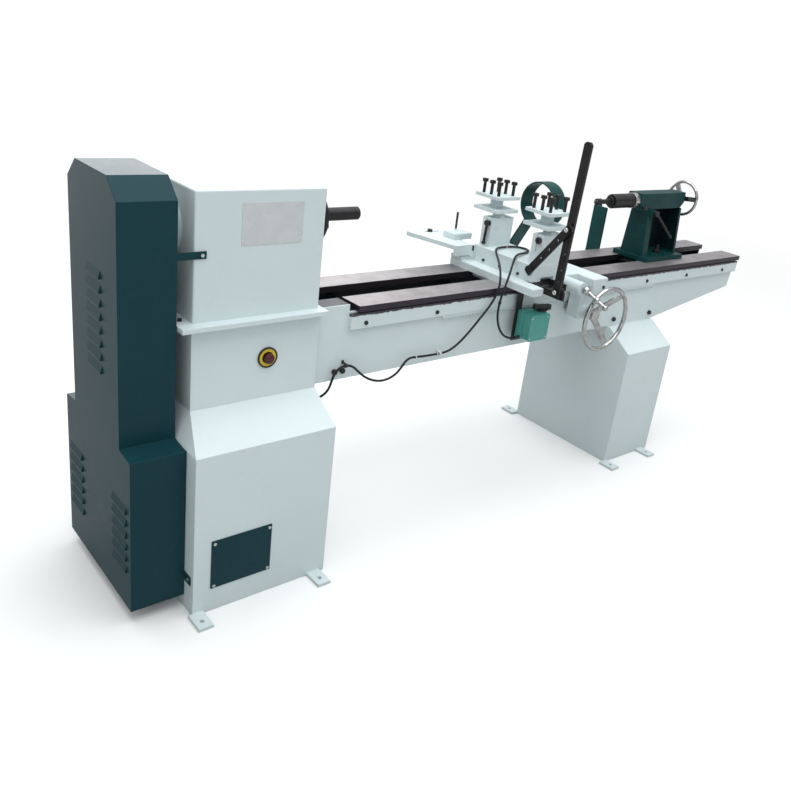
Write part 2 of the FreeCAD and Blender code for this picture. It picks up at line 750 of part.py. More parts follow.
# Carriage: saddle across the rails, with two long arms and a guide for the cross slide
barLeft, barWide, saddleHigh = size("bar_left"), size("bar_wide"), size("saddle_high")
wingLeft, wingWide = size("wing_left"), size("wing_wide")
saddleTop = railTop + saddleHigh
slideLeft, slideWide = size("slide_left"), size("slide_wide")
slideMiddle = slideLeft + slideWide / 2
saddleFront, saddleRear = size("saddle_front"), size("saddle_rear")
arm = Part.makeBox(barWide, size("bar_front") + size("bar_rear"), saddleHigh,
                   Vector(barLeft, -size("bar_front"), railTop))
arm = arm.makeChamfer(4, [e for e in arm.Edges if e.BoundBox.ZMin > saddleTop - 1])
wing = Part.makeBox(wingWide, size("wing_front") + saddleRear, saddleHigh,
                    Vector(wingLeft, -size("wing_front"), railTop))
wing = wing.makeChamfer(4, [e for e in wing.Edges if e.BoundBox.ZMin > saddleTop - 1])
bridge = Part.makeBox(wingLeft - barLeft - barWide + 20, saddleFront + saddleRear, saddleHigh,
                      Vector(barLeft + barWide - 10, -saddleFront, railTop))
pad = Part.makeBox(barWide - 4, 56, 12, Vector(barLeft, size("bar_rear") - 56, saddleTop))
keyLow = high + 1
key = Part.makeBox(wingLeft - barLeft, 2 * size("key_half"), railTop - keyLow,
                   Vector(barLeft + barWide / 2, -size("key_half"), keyLow))
tenonHalf = size("tenon_wide") / 2
tenon = Part.makeBox(2 * tenonHalf, saddleFront + saddleRear, size("tenon_high"),
                     Vector(slideMiddle - tenonHalf, -saddleFront, saddleTop))
bossAt = Vector(wingLeft - 95, -saddleFront, railTop + 8)
bossLong = size("boss_long")
boss = barrel(bossAt - AY * bossLong, AY, size("boss_radius"), bossLong)
saddle = arm.fuse([wing, bridge, pad, key, tenon, boss]).removeSplitter()
saddle = saddle.cut(barrel(bossAt - AY * (bossLong + 1), AY, 8 + size("bore_gap"), 30))
keep(shaped("saddle", saddle))
keepers = []
keeperLow = high - 9
for side in (-1, 1):
    near = size("rail_in") - 10 if side > 0 else -size("rail_in") - 8
    for x in (barLeft + 60, wingLeft - 90):
        upright = Vector(x, near if side > 0 else near + 10, keeperLow)
        keeper = Part.makeBox(60, 18, 8, Vector(x, near, keeperLow))
        keepers.append(keeper.fuse(Part.makeBox(60, 8, keyLow - keeperLow, upright)))

# Cross slide
slideFront, slideRear, slideHigh = size("slide_front"), size("slide_rear"), size("slide_high")
slideBody = box("cross_slide_body", ("slide_left", "-slide_front", "beam_high + rail_thick + saddle_high"),
                ("slide_wide", "slide_front + slide_rear", "slide_high"))
slideGroove = box("cross_slide_groove",
                  ("slide_left + slide_wide / 2 - tenon_wide / 2 - 0.1", "-slide_front - 1",
                   "beam_high + rail_thick + saddle_high - 1"),
                  ("tenon_wide + 0.2", "slide_front + slide_rear + 2", "tenon_high + 1.3"))
keep(cut("cross_slide", slideBody, [slideGroove]))
slideTop = saddleTop + slideHigh
gibScrews = []
for y in (-slideFront + 70, -slideFront + 165, slideRear - 60):
    gibScrews.append(hexBolt(Vector(slideLeft, y, saddleTop + 14), AX * -1, 3, 0.4, 10, 5).common(
        Part.makeBox(8, 30, 30, Vector(slideLeft - 8, y - 15, saddleTop))))

# Two tool posts; the tool lies between the two plates under six clamp bolts
toolX, toolWide, toolDeep = size("tool_x"), size("tool_wide"), size("tool_deep")
rearToolY = slideRear - toolDeep
frontToolY = rearToolY - size("tool_gap")
clampLong, clampReach, clampThick = size("clamp_plate"), size("clamp_reach"), size("clamp_thick")
postTop = slideTop + size("tool_high")
plateLow, plateUp = size("clamp_low"), size("clamp_up")
boltRadius = size("clamp_bolt")
toolPosts, toolHolders, clampBolts = [], [], []
for near in (rearToolY, frontToolY):
    middle = near + toolDeep / 2
    stem = Vector(toolX + toolWide / 2, middle + size("clamp_shift"), postTop)
    block = Part.makeBox(toolWide, toolDeep, size("tool_high"), Vector(toolX, near, slideTop))
    saw = Part.makeBox(toolWide * 0.5, 3, 60, Vector(toolX - 1, near + toolDeep / 2, postTop - 60))
    toolPosts.append(block.cut(saw))
    flange = barrel(Vector(stem.x, middle, postTop), AZ, 30 if toolDeep > 60 else toolDeep / 2, 8)
    neck = barrel(Vector(stem.x, middle, postTop + 8), AZ, size("neck_radius"), plateLow - postTop - 8)
    plateCorner = Vector(stem.x - clampLong / 2, stem.y - clampReach / 2, plateLow)
    lowerPlate = Part.makeBox(clampLong, clampReach, clampThick, plateCorner)
    upperPlate = Part.makeBox(clampLong, clampReach, clampThick, plateCorner + AZ * (plateUp - plateLow))
    stemBlock = Part.makeBox(34, 34, plateUp - plateLow - clampThick,
                             Vector(stem.x - 17, stem.y - 17, plateLow + clampThick))
    holder = flange.fuse([neck, lowerPlate, stemBlock, upperPlate])
    for across in (-38, 38):
        for row in (-1, 0, 1):
            x, y = stem.x + across, stem.y + row * 40
            seat = Vector(x, y, plateUp + clampThick + size("clamp_bolt_high") - 12)
            shankLong = size("clamp_bolt_high") + clampThick - 12
            shank = barrel(Vector(x, y, plateUp), AZ, boltRadius, shankLong)
            head = Part.makeBox(16, 16, 12, seat - Vector(8, 8, 0))
            clampBolts.append(shank.fuse(head))
            holder = holder.cut(barrel(Vector(x, y, plateUp), AZ, boltRadius, clampThick))
    toolHolders.append(holder)
keep(shaped("tool_posts", Part.makeCompound(toolPosts)))
keep(shaped("tool_holders", Part.makeCompound(toolHolders)))
keep(shaped("tool_clamp_bolts", Part.makeCompound(clampBolts)))

hubY = rearToolY + 14
hubZ = postTop - 20


def clampHandle(y, z, long, lean):
    """A round hub on the post's left face and an arm that hangs from it."""
    hub = barrel(Vector(toolX - 15, y, z), AX, 11, 15)
    grip = barrel(Vector(toolX - 9, y, z), AZ * -1, 5, long)
    grip = grip.fuse(Part.makeSphere(8, Vector(toolX - 9, y, z - long)))
    grip.rotate(Vector(toolX - 9, y, z), AX, lean)
    return hub.fuse(grip)


keep(shaped("rear_post_handle", clampHandle(hubY, hubZ, 76, 4)))
knob = barrel(Vector(toolX - 10, frontToolY + 14, hubZ), AX, 12, 10)
knob = knob.cut(hexBolt(Vector(toolX - 10, frontToolY + 14, hubZ), AX, 1, 1, 9, 6))
keep(shaped("front_post_knob", knob))

# Follower arm behind the slide: it carries the pin that traces the template
armLeft, armRight, armBack = slideLeft - 145, slideLeft + 37, slideRear + 237
armLow = slideTop - 18
guideX = slideLeft + 10
armStart, armEdge = armLeft + 50, guideX - 20
flatArm = [(armStart, slideRear), (armLeft, armBack), (armRight, armBack), (armRight, armBack - 60),
           (armEdge, armBack - 60), (armEdge, slideRear)]
follower = prism("XY", flatArm, armLow, armLow + 16)
follower = follower.fuse(Part.makeBox(armEdge - armStart, 12, 40, Vector(armStart, slideRear, armLow - 24)))
follower = follower.fuse(Part.makeBox(slideLeft + slideWide - armEdge, 12, 13,
                                      Vector(armEdge, slideRear, armLow - 24)))
follower = follower.cut(barrel(Vector(slideLeft + 10, slideRear - 1, armLow - 4), AY, 6, 14))
slotAt = Vector(armLeft + 110, armBack - 24, armLow - 1)
slot = Part.makeBox(70, 12, 18, slotAt - Vector(35, 6, 0))
follower = follower.cut(slot)
keep(shaped("follower_arm", follower.removeSplitter()))
blockBack = slideRear + 141
block = Part.makeBox(92, 64, 24, Vector(armRight - 75, blockBack - 64, armLow + 16))
block = block.makeChamfer(3, [e for e in block.Edges if e.BoundBox.ZMin > armLow + 39])
lug = Part.makeBox(30, 40, 30, Vector(guideX - 15, blockBack - 40, armLow - 14))
block = block.fuse(lug).cut(barrel(Vector(guideX, blockBack - 41, armLow - 4), AY, 6, 60))
pinAt = Vector(armRight - 23, blockBack - 10, armLow + 40)
block = block.cut(barrel(pinAt - AZ * 15, AZ, 4.5, 30))
block = block.fuse(barrel(pinAt - AZ * 15, AZ, 4.5, 86))
keep(shaped("follower_block", block.removeSplitter()))
screw = barrel(Vector(guideX, slideRear, armLow - 4), AY, 6, 150)
nutAt = Vector(guideX, slideRear + 26, armLow - 4)
screw = screw.fuse(hexBolt(nutAt, AY * -1, 6, 1, 22, 12))
lockNut = hexBolt(Vector(slotAt.x - 12, slotAt.y, armLow + 16), AZ, 6, 22, 18, 10)

# Ring that steadies the work, on a flat arm from the saddle
ringX, ringWide = size("ring_x"), size("ring_wide")
ringRadius, ringThick = size("ring_radius"), size("ring_thick")
ringMiddle = Vector(ringX, 0, headAxis)
lean = math.radians(size("strap_lean"))
down = Vector(0, math.cos(lean), -math.sin(lean))
across = Vector(0, math.sin(lean), math.cos(lean))
rootZ = saddleTop
strapY = size("strap_y")
start = Vector(ringX, strapY, headAxis - math.sqrt((ringRadius - ringThick / 2) ** 2 - strapY ** 2))
reach = (start.z - rootZ) / math.sin(lean)
end = start + down * reach
strap = [(start.y, start.z), (end.y, end.z), (end.y + 38, end.z), (end.y + 38, end.z + ringThick),
         (end.y + ringThick / math.sin(lean), end.z + ringThick)]
strap.append((start.y + across.y * ringThick, start.z + across.z * ringThick))
band = barrel(ringMiddle, AX, ringRadius, ringWide).fuse(prism("YZ", strap, ringX, ringX + ringWide))
band = band.cut(barrel(ringMiddle - AX, AX, ringRadius - ringThick, ringWide + 2))
keep(shaped("steady_ring", band.removeSplitter()))
ringBolts = []
for x in (14, ringWide - 14):
    seat = Vector(ringX + x, end.y + 22, rootZ + ringThick)
    aboveSeat = Part.makeBox(20, 20, 20, seat - AX * 10 - AY * 10)
    ringBolts.append(hexBolt(seat, AZ, 4, 0.5, 13, 7).common(aboveSeat))
keep(shaped("saddle_keepers", Part.makeCompound(keepers + ringBolts)))

# Hand lever: it turns on a black bracket and pushes the slide through a link
leverX, leverThick, leverWide = size("lever_x"), size("lever_thick"), size("lever_wide")
pivot = Vector(leverX, size("lever_y"), size("lever_z"))
pinRadius = size("pivot_radius")
leverLean = size("lever_lean")
long = size("lever_long")
leverHalf, leverCorner = leverWide / 2, 8
flatBar = [(-leverHalf, -22), (leverHalf, -22), (leverHalf, long - leverCorner),
           (leverHalf - leverCorner, long), (-leverHalf + leverCorner, long),
           (-leverHalf, long - leverCorner)]
lever = prism("YZ", flatBar, 0, leverThick)
linkArm = size("link_arm")
lever = lever.cut(barrel(Vector(-1, 0, 0), AX, pinRadius + gap, leverThick + 2))
lever = lever.cut([barrel(Vector(-1, 0, z), AX, 5, leverThick + 2) for z in (40, 82, 140)])
lever = lever.cut(barrel(Vector(-1, 0, linkArm), AX, pinRadius, leverThick + 2))
lever.rotate(Vector(), AX, leverLean)
lever.translate(pivot)
turn = math.radians(leverLean)
joint = pivot + Vector(0, -linkArm * math.sin(turn), linkArm * math.cos(turn))
linkThick, linkGap = size("link_thick"), size("link_gap")
pinBody = barrel(joint - AX * (linkGap + linkThick + 3), AX, pinRadius, leverThick + linkGap + linkThick + 3)
pinBody = pinBody.fuse(barrel(joint - AX * (linkGap + linkThick + 8), AX, 11, 5))
pinBody = pinBody.fuse(barrel(joint + AX * leverThick, AX, 11, 6))
pinBody = pinBody.fuse(barrel(joint - AX * linkGap, AX, 9, linkGap))
keep(shaped("hand_lever", lever.fuse(pinBody)))
target = Vector(leverX, size("link_end_y"), size("link_end_z"))
linkLong = (target - joint).Length
linkTurn = math.degrees(math.atan2(target.z - joint.z, target.y - joint.y))
linkWide = size("link_wide")
linkBar = [(-20, -linkWide / 2), (linkLong + 20, -linkWide / 2),
           (linkLong + 20, linkWide / 2), (-20, linkWide / 2)]
link = prism("YZ", linkBar, 0, linkThick)
link = link.cut(barrel(Vector(-1, 0, 0), AX, pinRadius + gap, linkThick + 2))
link = link.cut(barrel(Vector(-1, linkLong, 0), AX, pinRadius + 5, linkThick + 2))
link = link.cut([barrel(Vector(-1, linkLong * part, 0), AX, 5, linkThick + 2) for part in (0.25, 0.48, 0.7)])
link.rotate(Vector(), AX, linkTurn)
link.translate(joint - AX * (linkGap + linkThick))
keep(shaped("slide_link", link))
slidePin = barrel(target - AX * (linkGap + linkThick + 3), AX, pinRadius, linkGap + linkThick + 3)
slidePin = slidePin.fuse(barrel(target - AX * (linkGap + linkThick + 8), AX, 14, 5))
keep(shaped("slide_screws", Part.makeCompound(gibScrews + [screw, lockNut, slidePin])))

bracketX = leverX + leverThick + linkGap
bracketLow = railTop + 4
sideWide = 8
bracketWide = 118
reachOut = 26
bracketTop = saddleTop - 2
ear = [(-saddleFront, bracketLow), (-saddleFront, bracketTop), (pivot.y + 22, bracketTop),
       (pivot.y + 16, pivot.z + 18), (pivot.y - 16, pivot.z + 18), (pivot.y - reachOut, pivot.z),
       (pivot.y - reachOut, bracketLow)]
bracket = prism("YZ", ear, bracketX, bracketX + sideWide)
far = [(-saddleFront, bracketLow), (-saddleFront, bracketTop), (pivot.y + 60, bracketTop),
       (pivot.y + 60, bracketLow)]
bracket = bracket.fuse(prism("YZ", far, bracketX + bracketWide - sideWide, bracketX + bracketWide))
bracket = bracket.fuse(Part.makeBox(bracketWide, 30, 8, Vector(bracketX, pivot.y + 60, bracketLow)))
bracket = bracket.fuse(Part.makeBox(bracketWide, 8, bracketTop - bracketLow,
                                    Vector(bracketX, -saddleFront - 8, bracketLow)))
bracket = bracket.cut(barrel(pivot + AX * 4, AX, pinRadius, 30))
pivotPin = barrel(pivot - AX * 6, AX, pinRadius, leverThick + linkGap + sideWide + 12)
pivotPin = pivotPin.fuse(hexBolt(pivot - AX * 1, AX * -1, pinRadius, 2, 20, 7))
pivotPin = pivotPin.fuse(barrel(pivot + AX * leverThick, AX, 9, linkGap))
pivotPin = pivotPin.fuse(hexBolt(Vector(bracketX + sideWide, pivot.y, pivot.z), AX, pinRadius, 2, 20, 7))
keep(shaped("lever_bracket", bracket.fuse(pivotPin).removeSplitter()))

# Feed: handwheel, shaft and pinion under the rack; the box hangs from the saddle's wing
boxLeft = wheel.x - 34
boxFront, boxBack = -214, -160
feedBox = Part.makeBox(68, boxBack - boxFront, railTop - wheel.z + 34,
                       Vector(boxLeft, boxFront, wheel.z - 34))
lowEdges = [e for e in feedBox.Edges if e.BoundBox.ZMax < wheel.z - 33 and e.BoundBox.YLength > 20]
feedBox = feedBox.makeFillet(10, lowEdges)
feedBox = feedBox.fuse(barrel(Vector(wheel.x, boxFront - 22, wheel.z), AY, 24, 22))
shaftRadius = size("feed_shaft")
feedBox = feedBox.cut(barrel(Vector(wheel.x, boxFront - 30, wheel.z), AY, shaftRadius + gap, 100))
keep(shaped("feed_box", feedBox))
hubMiddle = wheel.y + size("wheel_dish")
feedStart = hubMiddle - 16
feedShaft = barrel(Vector(wheel.x, feedStart, wheel.z), AY, shaftRadius, -beamFront - 0.5 - feedStart)
pinion = [(wheel.x + x, wheel.z + z) for x, z in toothedWheel(int(size("pinion_teeth")), module, 1.1)]
pinionStart = -beamFront - size("rack_thick")
pinionGear = prism("XZ", pinion, pinionStart, -beamFront - 1)
keep(shaped("feed_pinion", pinionGear.fuse(feedShaft)))
handle = handwheel(size("wheel_radius"), size("rim_radius"), size("wheel_dish"), 24, 30, 3, 48, shaftRadius)
handle.rotate(Vector(), AX, 90)
handle.translate(wheel)
keep(shaped("feed_handwheel", handle))

# Carriage clamp: boss on the saddle's front edge and a stepped ball handle
handleRoot = bossAt - AY * (bossLong + 15)
gripWay = Vector(18, -84, -42)
gripWay.normalize()
clampGrip = barrel(handleRoot - AY * 0.2, AY, 8, 36).fuse(Part.makeSphere(16, handleRoot))
clampGrip = clampGrip.fuse(Part.makeCone(9, 7, 40, handleRoot + gripWay * 10, gripWay))
clampGrip = clampGrip.fuse(Part.makeSphere(12.5, handleRoot + gripWay * 54))
clampGrip = clampGrip.fuse(Part.makeCone(8.5, 6.5, 34, handleRoot + gripWay * 58, gripWay))
clampGrip = clampGrip.fuse(Part.makeSphere(11, handleRoot + gripWay * 96))
keep(shaped("carriage_clamp_handle", clampGrip))

# Switch on a plate that hangs from the saddle
switchX, switchWide, switchBack = size("switch_x"), size("switch_wide"), size("switch_back")
switchDeep, switchLow, switchHigh = size("switch_deep"), size("switch_low"), size("switch_high")
plateBody = box("switch_plate_body", ("switch_x - 14", "-switch_back", "switch_low - 15"),
                ("switch_wide + 24", 4, "beam_high + rail_thick - switch_low + 15"))
plateNotch = box("switch_plate_notch", ("switch_x + 16", "-switch_back - 1", "switch_low + switch_high"),
                 ("switch_wide", 6, "beam_high + rail_thick - switch_low - switch_high + 1"))
keep(cut("switch_plate", plateBody, [plateNotch]))
baseDeep = switchDeep * 0.42
switchBase = Part.makeBox(switchWide, baseDeep, switchHigh,
                          Vector(switchX, -switchBack - baseDeep, switchLow))
switchBase = switchBase.makeFillet(5, [e for e in switchBase.Edges if e.BoundBox.YLength > baseDeep - 1])
switchCover = Part.makeBox(switchWide - 6, switchDeep - baseDeep, switchHigh - 6,
                           Vector(switchX + 3, -switchBack - switchDeep, switchLow + 3))
coverEdges = [e for e in switchCover.Edges if e.BoundBox.YMin < -switchBack - switchDeep + 1e-3]
switchCover = switchCover.makeFillet(6, coverEdges)
knobAt = Vector(switchX + switchWide * 0.86, -switchBack - switchDeep * 0.5, switchLow + switchHigh)
knobHole = barrel(knobAt - AZ * 10, AZ, 5 + gap, 30)
switchGlandLong = size("switch_gland_long")
switchGlandAt = Vector(switchX - switchGlandLong, -switchBack - baseDeep - 2, size("switch_gland_z"))
switchGland = barrel(switchGlandAt, AX, 8, switchGlandLong + 3)
switchCover = switchCover.cut(knobHole).fuse(switchGland).cut(switchBase)
keep(shaped("switch_box", Part.makeCompound([switchBase.cut(knobHole), switchCover.removeSplitter()])))
knobDisc = barrel(knobAt + AZ * 1, AZ, 22, 4)
knobBar = Part.makeBox(56, 16, 17, knobAt + Vector(-28, -8, 5))
knob = barrel(knobAt - AZ * 8, AZ, 5, 12).fuse([knobDisc, knobBar])
for x in (-25, 25):
    knob = knob.fuse(barrel(knobAt + Vector(x, 0, 5), AZ, 12, 17))
knob.rotate(knobAt, AZ, -24)
keep(shaped("switch_knob", knob.removeSplitter()))

# Tailstock
tailLeft, tailLong = size("tail_left"), size("tail_long")
tailDeep, tailBase = size("tail_deep"), size("tail_base")
bodyLeft, bodyLong, bodyDeep, tailWall = (size("tail_body_left"), size("tail_body_long"),
                                          size("tail_body_deep"), size("tail_wall"))
barrelLow, barrelHigh, barrelDeep = size("barrel_low"), size("barrel_high"), size("barrel_deep")
footTop = railTop + tailBase
foot = Part.makeBox(tailLong, 2 * tailDeep, tailBase, Vector(tailLeft, -tailDeep, railTop))
guide = Part.makeBox(tailLong - 60, 2 * size("key_half"), size("rail_thick") - 1,
                     Vector(tailLeft + 30, -size("key_half"), high + 1))
sides = [(-bodyDeep, footTop), (bodyDeep, footTop),
         (barrelDeep + 10, barrelLow), (-barrelDeep - 6, barrelLow)]
pedestal = prism("YZ", sides, bodyLeft, bodyLeft + bodyLong)
frontWall = size("tail_front_wall")
recess = Part.makeBox(bodyLong - frontWall - tailWall, 2 * bodyDeep, barrelLow - footTop,
                      Vector(bodyLeft + frontWall, -bodyDeep * 1.6, footTop))
leverAt = Vector(bodyLeft + frontWall - 14, -barrelDeep - 26, barrelLow - 12)
leverLug = Part.makeBox(30, 26, 26, Vector(leverAt.x - 15, -barrelDeep - 22, barrelLow - 26))
pedestal = pedestal.cut(recess).fuse(leverLug).cut(barrel(leverAt - AY, AY, 6 + gap, 27))
boltX = bodyLeft + bodyLong * 0.6
boltY = -28
tailBody = foot.fuse([guide, pedestal])
tailBody = tailBody.cut(barrel(Vector(boltX, boltY, high - 5), AZ, 9, 60)).removeSplitter()
keep(shaped("tailstock_body", tailBody))
barrelLeft, barrelLong = size("barrel_left"), size("barrel_long")
endX = barrelLeft + barrelLong
housingSide = [(barrelLeft, barrelLow), (endX - 22, barrelLow), (endX, barrelLow + 24),
               (endX, barrelHigh), (barrelLeft, barrelHigh)]
housing = prism("XZ", housingSide, -barrelDeep, barrelDeep)
topEdges = [e for e in housing.Edges if e.BoundBox.XLength > 100 and e.BoundBox.ZMin > barrelHigh - 1]
housing = housing.makeFillet(4, topEdges)
quillRadius = size("quill_radius")
screwRadius = 10
housing = housing.cut(barrel(Vector(barrelLeft - 1, 0, headAxis), AX, quillRadius + gap, barrelLong - 20))
housing = housing.cut(barrel(Vector(endX - 40, 0, headAxis), AX, screwRadius + gap, 60))
keep(shaped("tailstock_barrel", housing))
collarX, collarRadius = size("collar_x"), size("collar_radius")
quillCollar = barrel(Vector(collarX, 0, headAxis), AX, collarRadius, barrelLeft - collarX)
quillCollar = quillCollar.cut(barrel(Vector(collarX, 0, headAxis), AX, quillRadius + gap, 40))
keep(shaped("quill_collar", quillCollar))
lockScrew = barrel(Vector(barrelLeft + 16, -barrelDeep - 12, barrelLow + 10), AY, 5, 12)
lockScrew = lockScrew.fuse(barrel(Vector(barrelLeft + 16, -barrelDeep - 22, barrelLow + 10), AY, 9, 10))
centreX, centreRadius = size("centre_x"), size("centre_radius")
quillEnd = endX - 40
quill = barrel(Vector(collarX - 1, 0, headAxis), AX, quillRadius, quillEnd - collarX + 1)
keep(shaped("quill", quill.cut(barrel(Vector(quillEnd - 180, 0, headAxis), AX, screwRadius + 1, 200))))
centreBody = barrel(Vector(centreX, 0, headAxis), AX, centreRadius, collarX - 1 - centreX)
centreBody = centreBody.makeChamfer(3, centreBody.Edges[0:1] + centreBody.Edges[2:3])
keep(shaped("centre_body", centreBody.cut(barrel(Vector(centreX - 1, 0, headAxis), AX, 12 + gap, 31))))
noseLeft = Vector(centreX, 0, headAxis)
nose = barrel(noseLeft - AX * 14, AX, 20, 13.6).fuse(barrel(noseLeft - AX * 24, AX, 12, 54))
tip = Vector(size("centre_tip"), 0, headAxis)
nose = nose.fuse(barrel(tip + AX * 14, AX, 10, centreX - 14 - tip.x)).fuse(barrel(tip + AX * 12, AX, 14, 22))
nose = nose.fuse(Part.makeCone(0.5, 11, 13, tip, AX))
keep(shaped("centre_nose", nose))
screwStart = quillEnd - 150
wheelAt = endX + size("tail_wheel_out")
tailScrew = barrel(Vector(screwStart, 0, headAxis), AX, screwRadius, wheelAt + 14 - screwStart)
tailWheel = handwheel(size("tail_wheel_radius"), size("tail_rim"), 14, 20, 26, 3, 25, screwRadius)
tailWheel.rotate(Vector(), AY, 90)
tailWheel.translate(Vector(wheelAt, 0, headAxis))
keep(shaped("tail_handwheel", tailWheel.fuse(tailScrew)))
tailGrip = barrel(leverAt - AY * 6, AY, 6, 30).fuse(barrel(leverAt - AY * 16, AY, 12, 12))
gripRod = barrel(leverAt - AY * 10, AX, 7, 176).fuse(Part.makeSphere(9.5, leverAt - AY * 10 + AX * 176))
gripRod.rotate(leverAt, AY, 38)
keep(shaped("tailstock_lever", tailGrip.fuse(gripRod)))
clampBolt = hexBolt(Vector(boltX, boltY, footTop), AZ, 8, footTop - high + 26, 26, 14)
clampBolt = clampBolt.fuse(barrel(Vector(boltX, boltY, footTop), AZ, 8, 36))
clampBlock = Part.makeBox(90, 2 * (beamBack - 2), 22, Vector(boltX - 45, -beamBack + 2, high - 26))
clampBlock = clampBlock.cut(barrel(Vector(boltX, boltY, high - 40), AZ, 8, 60))
keep(shaped("tailstock_clamp", Part.makeCompound([clampBolt, clampBlock, lockScrew])))

# Cables: clips on the bed, a gland on the column, and the lead that follows the carriage
cableRadius = size("cable_radius")


def tubeAlong(points, radius):
    """A round tube along straight runs joined by tangent arcs; prints the arcs' radii."""
    edges, radii = [], []
    reached = points[0]
    for before, at, after in zip(points, points[1:], points[2:]):
        back, ahead = before - at, after - at
        turn = math.pi - back.getAngle(ahead)
        shorter = min(back.Length, ahead.Length)
        trim = 0.45 * shorter
        bend = trim / math.tan(turn / 2)
        radii.append(round(bend, 1))
        toward, away = back.normalize(), ahead.normalize()
        first, last = at + toward * trim, at + away * trim
        inward = (toward + away).normalize()
        centre = at + inward * (bend / math.cos(turn / 2))
        edges.append(Part.LineSegment(reached, first).toShape())
        edges.append(Part.Arc(first, centre - inward * bend, last).toShape())
        reached = last
    edges.append(Part.LineSegment(reached, points[-1]).toShape())
    path = Part.Wire(edges)
    ring = Part.Wire(Part.makeCircle(radius, points[0], points[1] - points[0]))
    tube = path.makePipeShell([ring], True, True)
    print("cable", round(path.Length), "mm, arc radii", radii,
          "volume", round(tube.Volume / (math.pi * radius ** 2 * path.Length), 3))
    return tube


def places(rows):
    return [Vector(*row) for row in rows]


clipY = -beamFront - size("clip_out")
clipWide, clipSheet = size("clip_wide"), 3
nearClip = Vector(size("clip_x"), clipY, size("clip_z"))
farClip = Vector(size("far_clip_x"), clipY, size("far_clip_z"))
clips = []
for at in (nearClip, farClip):
    left = at - AX * clipWide / 2
    clip = barrel(left, AX, cableRadius + clipSheet, clipWide)
    clip = clip.fuse(Part.makeBox(clipWide, size("clip_out"), clipSheet, left + AZ * cableRadius))
    clip = clip.fuse(Part.makeBox(clipWide, clipSheet, 12, left + AY * (size("clip_out") - clipSheet)))
    clips.append(clip.cut(barrel(left, AX, cableRadius + size("clip_gap"), clipWide)))
glandFlange, glandNeck = size("gland_flange"), size("gland_neck")
gland = barrel(glandAt - AX * wall, AX, 10, wall).fuse(barrel(glandAt, AX, 13, glandFlange))
gland = gland.fuse(barrel(glandAt + AX * glandFlange, AX, 9, glandNeck))
clips.append(gland.cut(barrel(glandAt - AX * wall, AX, cableRadius, wall + glandFlange)))
keep(shaped("cable_clips", Part.makeCompound(clips)))
cableStart = glandAt + AX * (glandFlange + glandNeck)
supply = [cableStart, cableStart + AX * 20] + places([
    (302, -124, 537), (315, -132, 552), (320, -141, 574), (320, -149, 598), (324, -153, 620),
    (337, -154, 638), (356, -154, 646), (376, -154, 646), (397, -155, 637), (416, -156, 619),
    (442, -156, 596), (475, -156, 577), (514, -156, 566), (552, -156, 569), (582, -156, 583),
    (602, -156, 605), (616, -155, 623), (638, -154, 631), (668, -154, 629), (706, -155, 627)])
supply += [farClip - AX * 28, farClip]
keep(shaped("supply_cable", tubeAlong(supply, cableRadius)))
carriage = [farClip, farClip + AX * 26] + places([
    (830, -156, 638), (868, -158, 666), (902, -160, 700), (934, -162, 736), (966, -163, 770),
    (992, -164, 806), (1009, -163, 844), (1022, -150, 878), (1044, -120, 904), (1070, -80, 922),
    (1092, -42, 936), (1122, -10, 941), (1160, 8, 939), (1200, 12, 938), (1232, 9, 938), (1256, -8, 938),
    (1263, -36, 938), (1250, -61, 938), (1222, -75, 938), (1190, -84, 939), (1152, -98, 942),
    (1116, -118, 942), (1082, -142, 922), (1052, -162, 888), (1028, -172, 847), (1008, -178, 802),
    (998, -184, 756), (1006, -190, 710), (1030, -196, 674), (1064, -200, 658)])
carriage += [switchGlandAt - AX * 24, switchGlandAt]
keep(shaped("carriage_cable", tubeAlong(carriage, cableRadius)))

doc.recompute()
for item in doc.Objects:
    if "Invalid" in item.State or "Error" in item.State:
        raise RuntimeError("failed: " + item.Label)
names = [piece.Label for piece in nodes]
if len(set(names)) != len(names):
    raise RuntimeError("two pieces share a name")
for piece in nodes:
    shape = piece.Shape
    if shape.isNull() or not shape.isValid() or not shape.Solids:
        raise RuntimeError("bad shape: " + piece.Label)
for piece in nodes:
    piece.Shape.exportStep("parts/%s.step" % piece.Label)
print(len(nodes), "pieces written")
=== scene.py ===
import math

import bmesh
import bpy
from mathutils import Matrix, Vector


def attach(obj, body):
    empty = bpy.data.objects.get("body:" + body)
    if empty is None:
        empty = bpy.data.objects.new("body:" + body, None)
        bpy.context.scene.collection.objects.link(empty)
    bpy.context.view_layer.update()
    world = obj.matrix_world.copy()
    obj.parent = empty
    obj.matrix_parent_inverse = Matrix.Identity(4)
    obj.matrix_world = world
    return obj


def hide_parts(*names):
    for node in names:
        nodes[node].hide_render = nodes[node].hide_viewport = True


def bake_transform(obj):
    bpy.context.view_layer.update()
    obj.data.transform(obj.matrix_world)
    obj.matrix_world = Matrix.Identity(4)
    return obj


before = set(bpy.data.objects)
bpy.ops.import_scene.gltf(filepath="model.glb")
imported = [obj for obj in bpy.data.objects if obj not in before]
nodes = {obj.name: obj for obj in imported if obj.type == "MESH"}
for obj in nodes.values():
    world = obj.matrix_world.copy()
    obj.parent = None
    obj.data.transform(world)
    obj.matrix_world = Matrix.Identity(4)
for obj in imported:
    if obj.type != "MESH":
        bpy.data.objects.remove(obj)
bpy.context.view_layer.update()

scene = bpy.context.scene
print("frame loaded,", len(nodes), "pieces from the CAD model")

# Camera: it stands in front of the headstock and looks along the bed
cameraLook = {
    "place": (-1.106, -2.116, 1.658),
    "right": (0.7674, -0.6299, 0.1195),
    "up": (0.1484, 0.3558, 0.9227),
    "lens": 37.64,
    "shiftX": -0.0268,
    "shiftY": -0.0445,
}


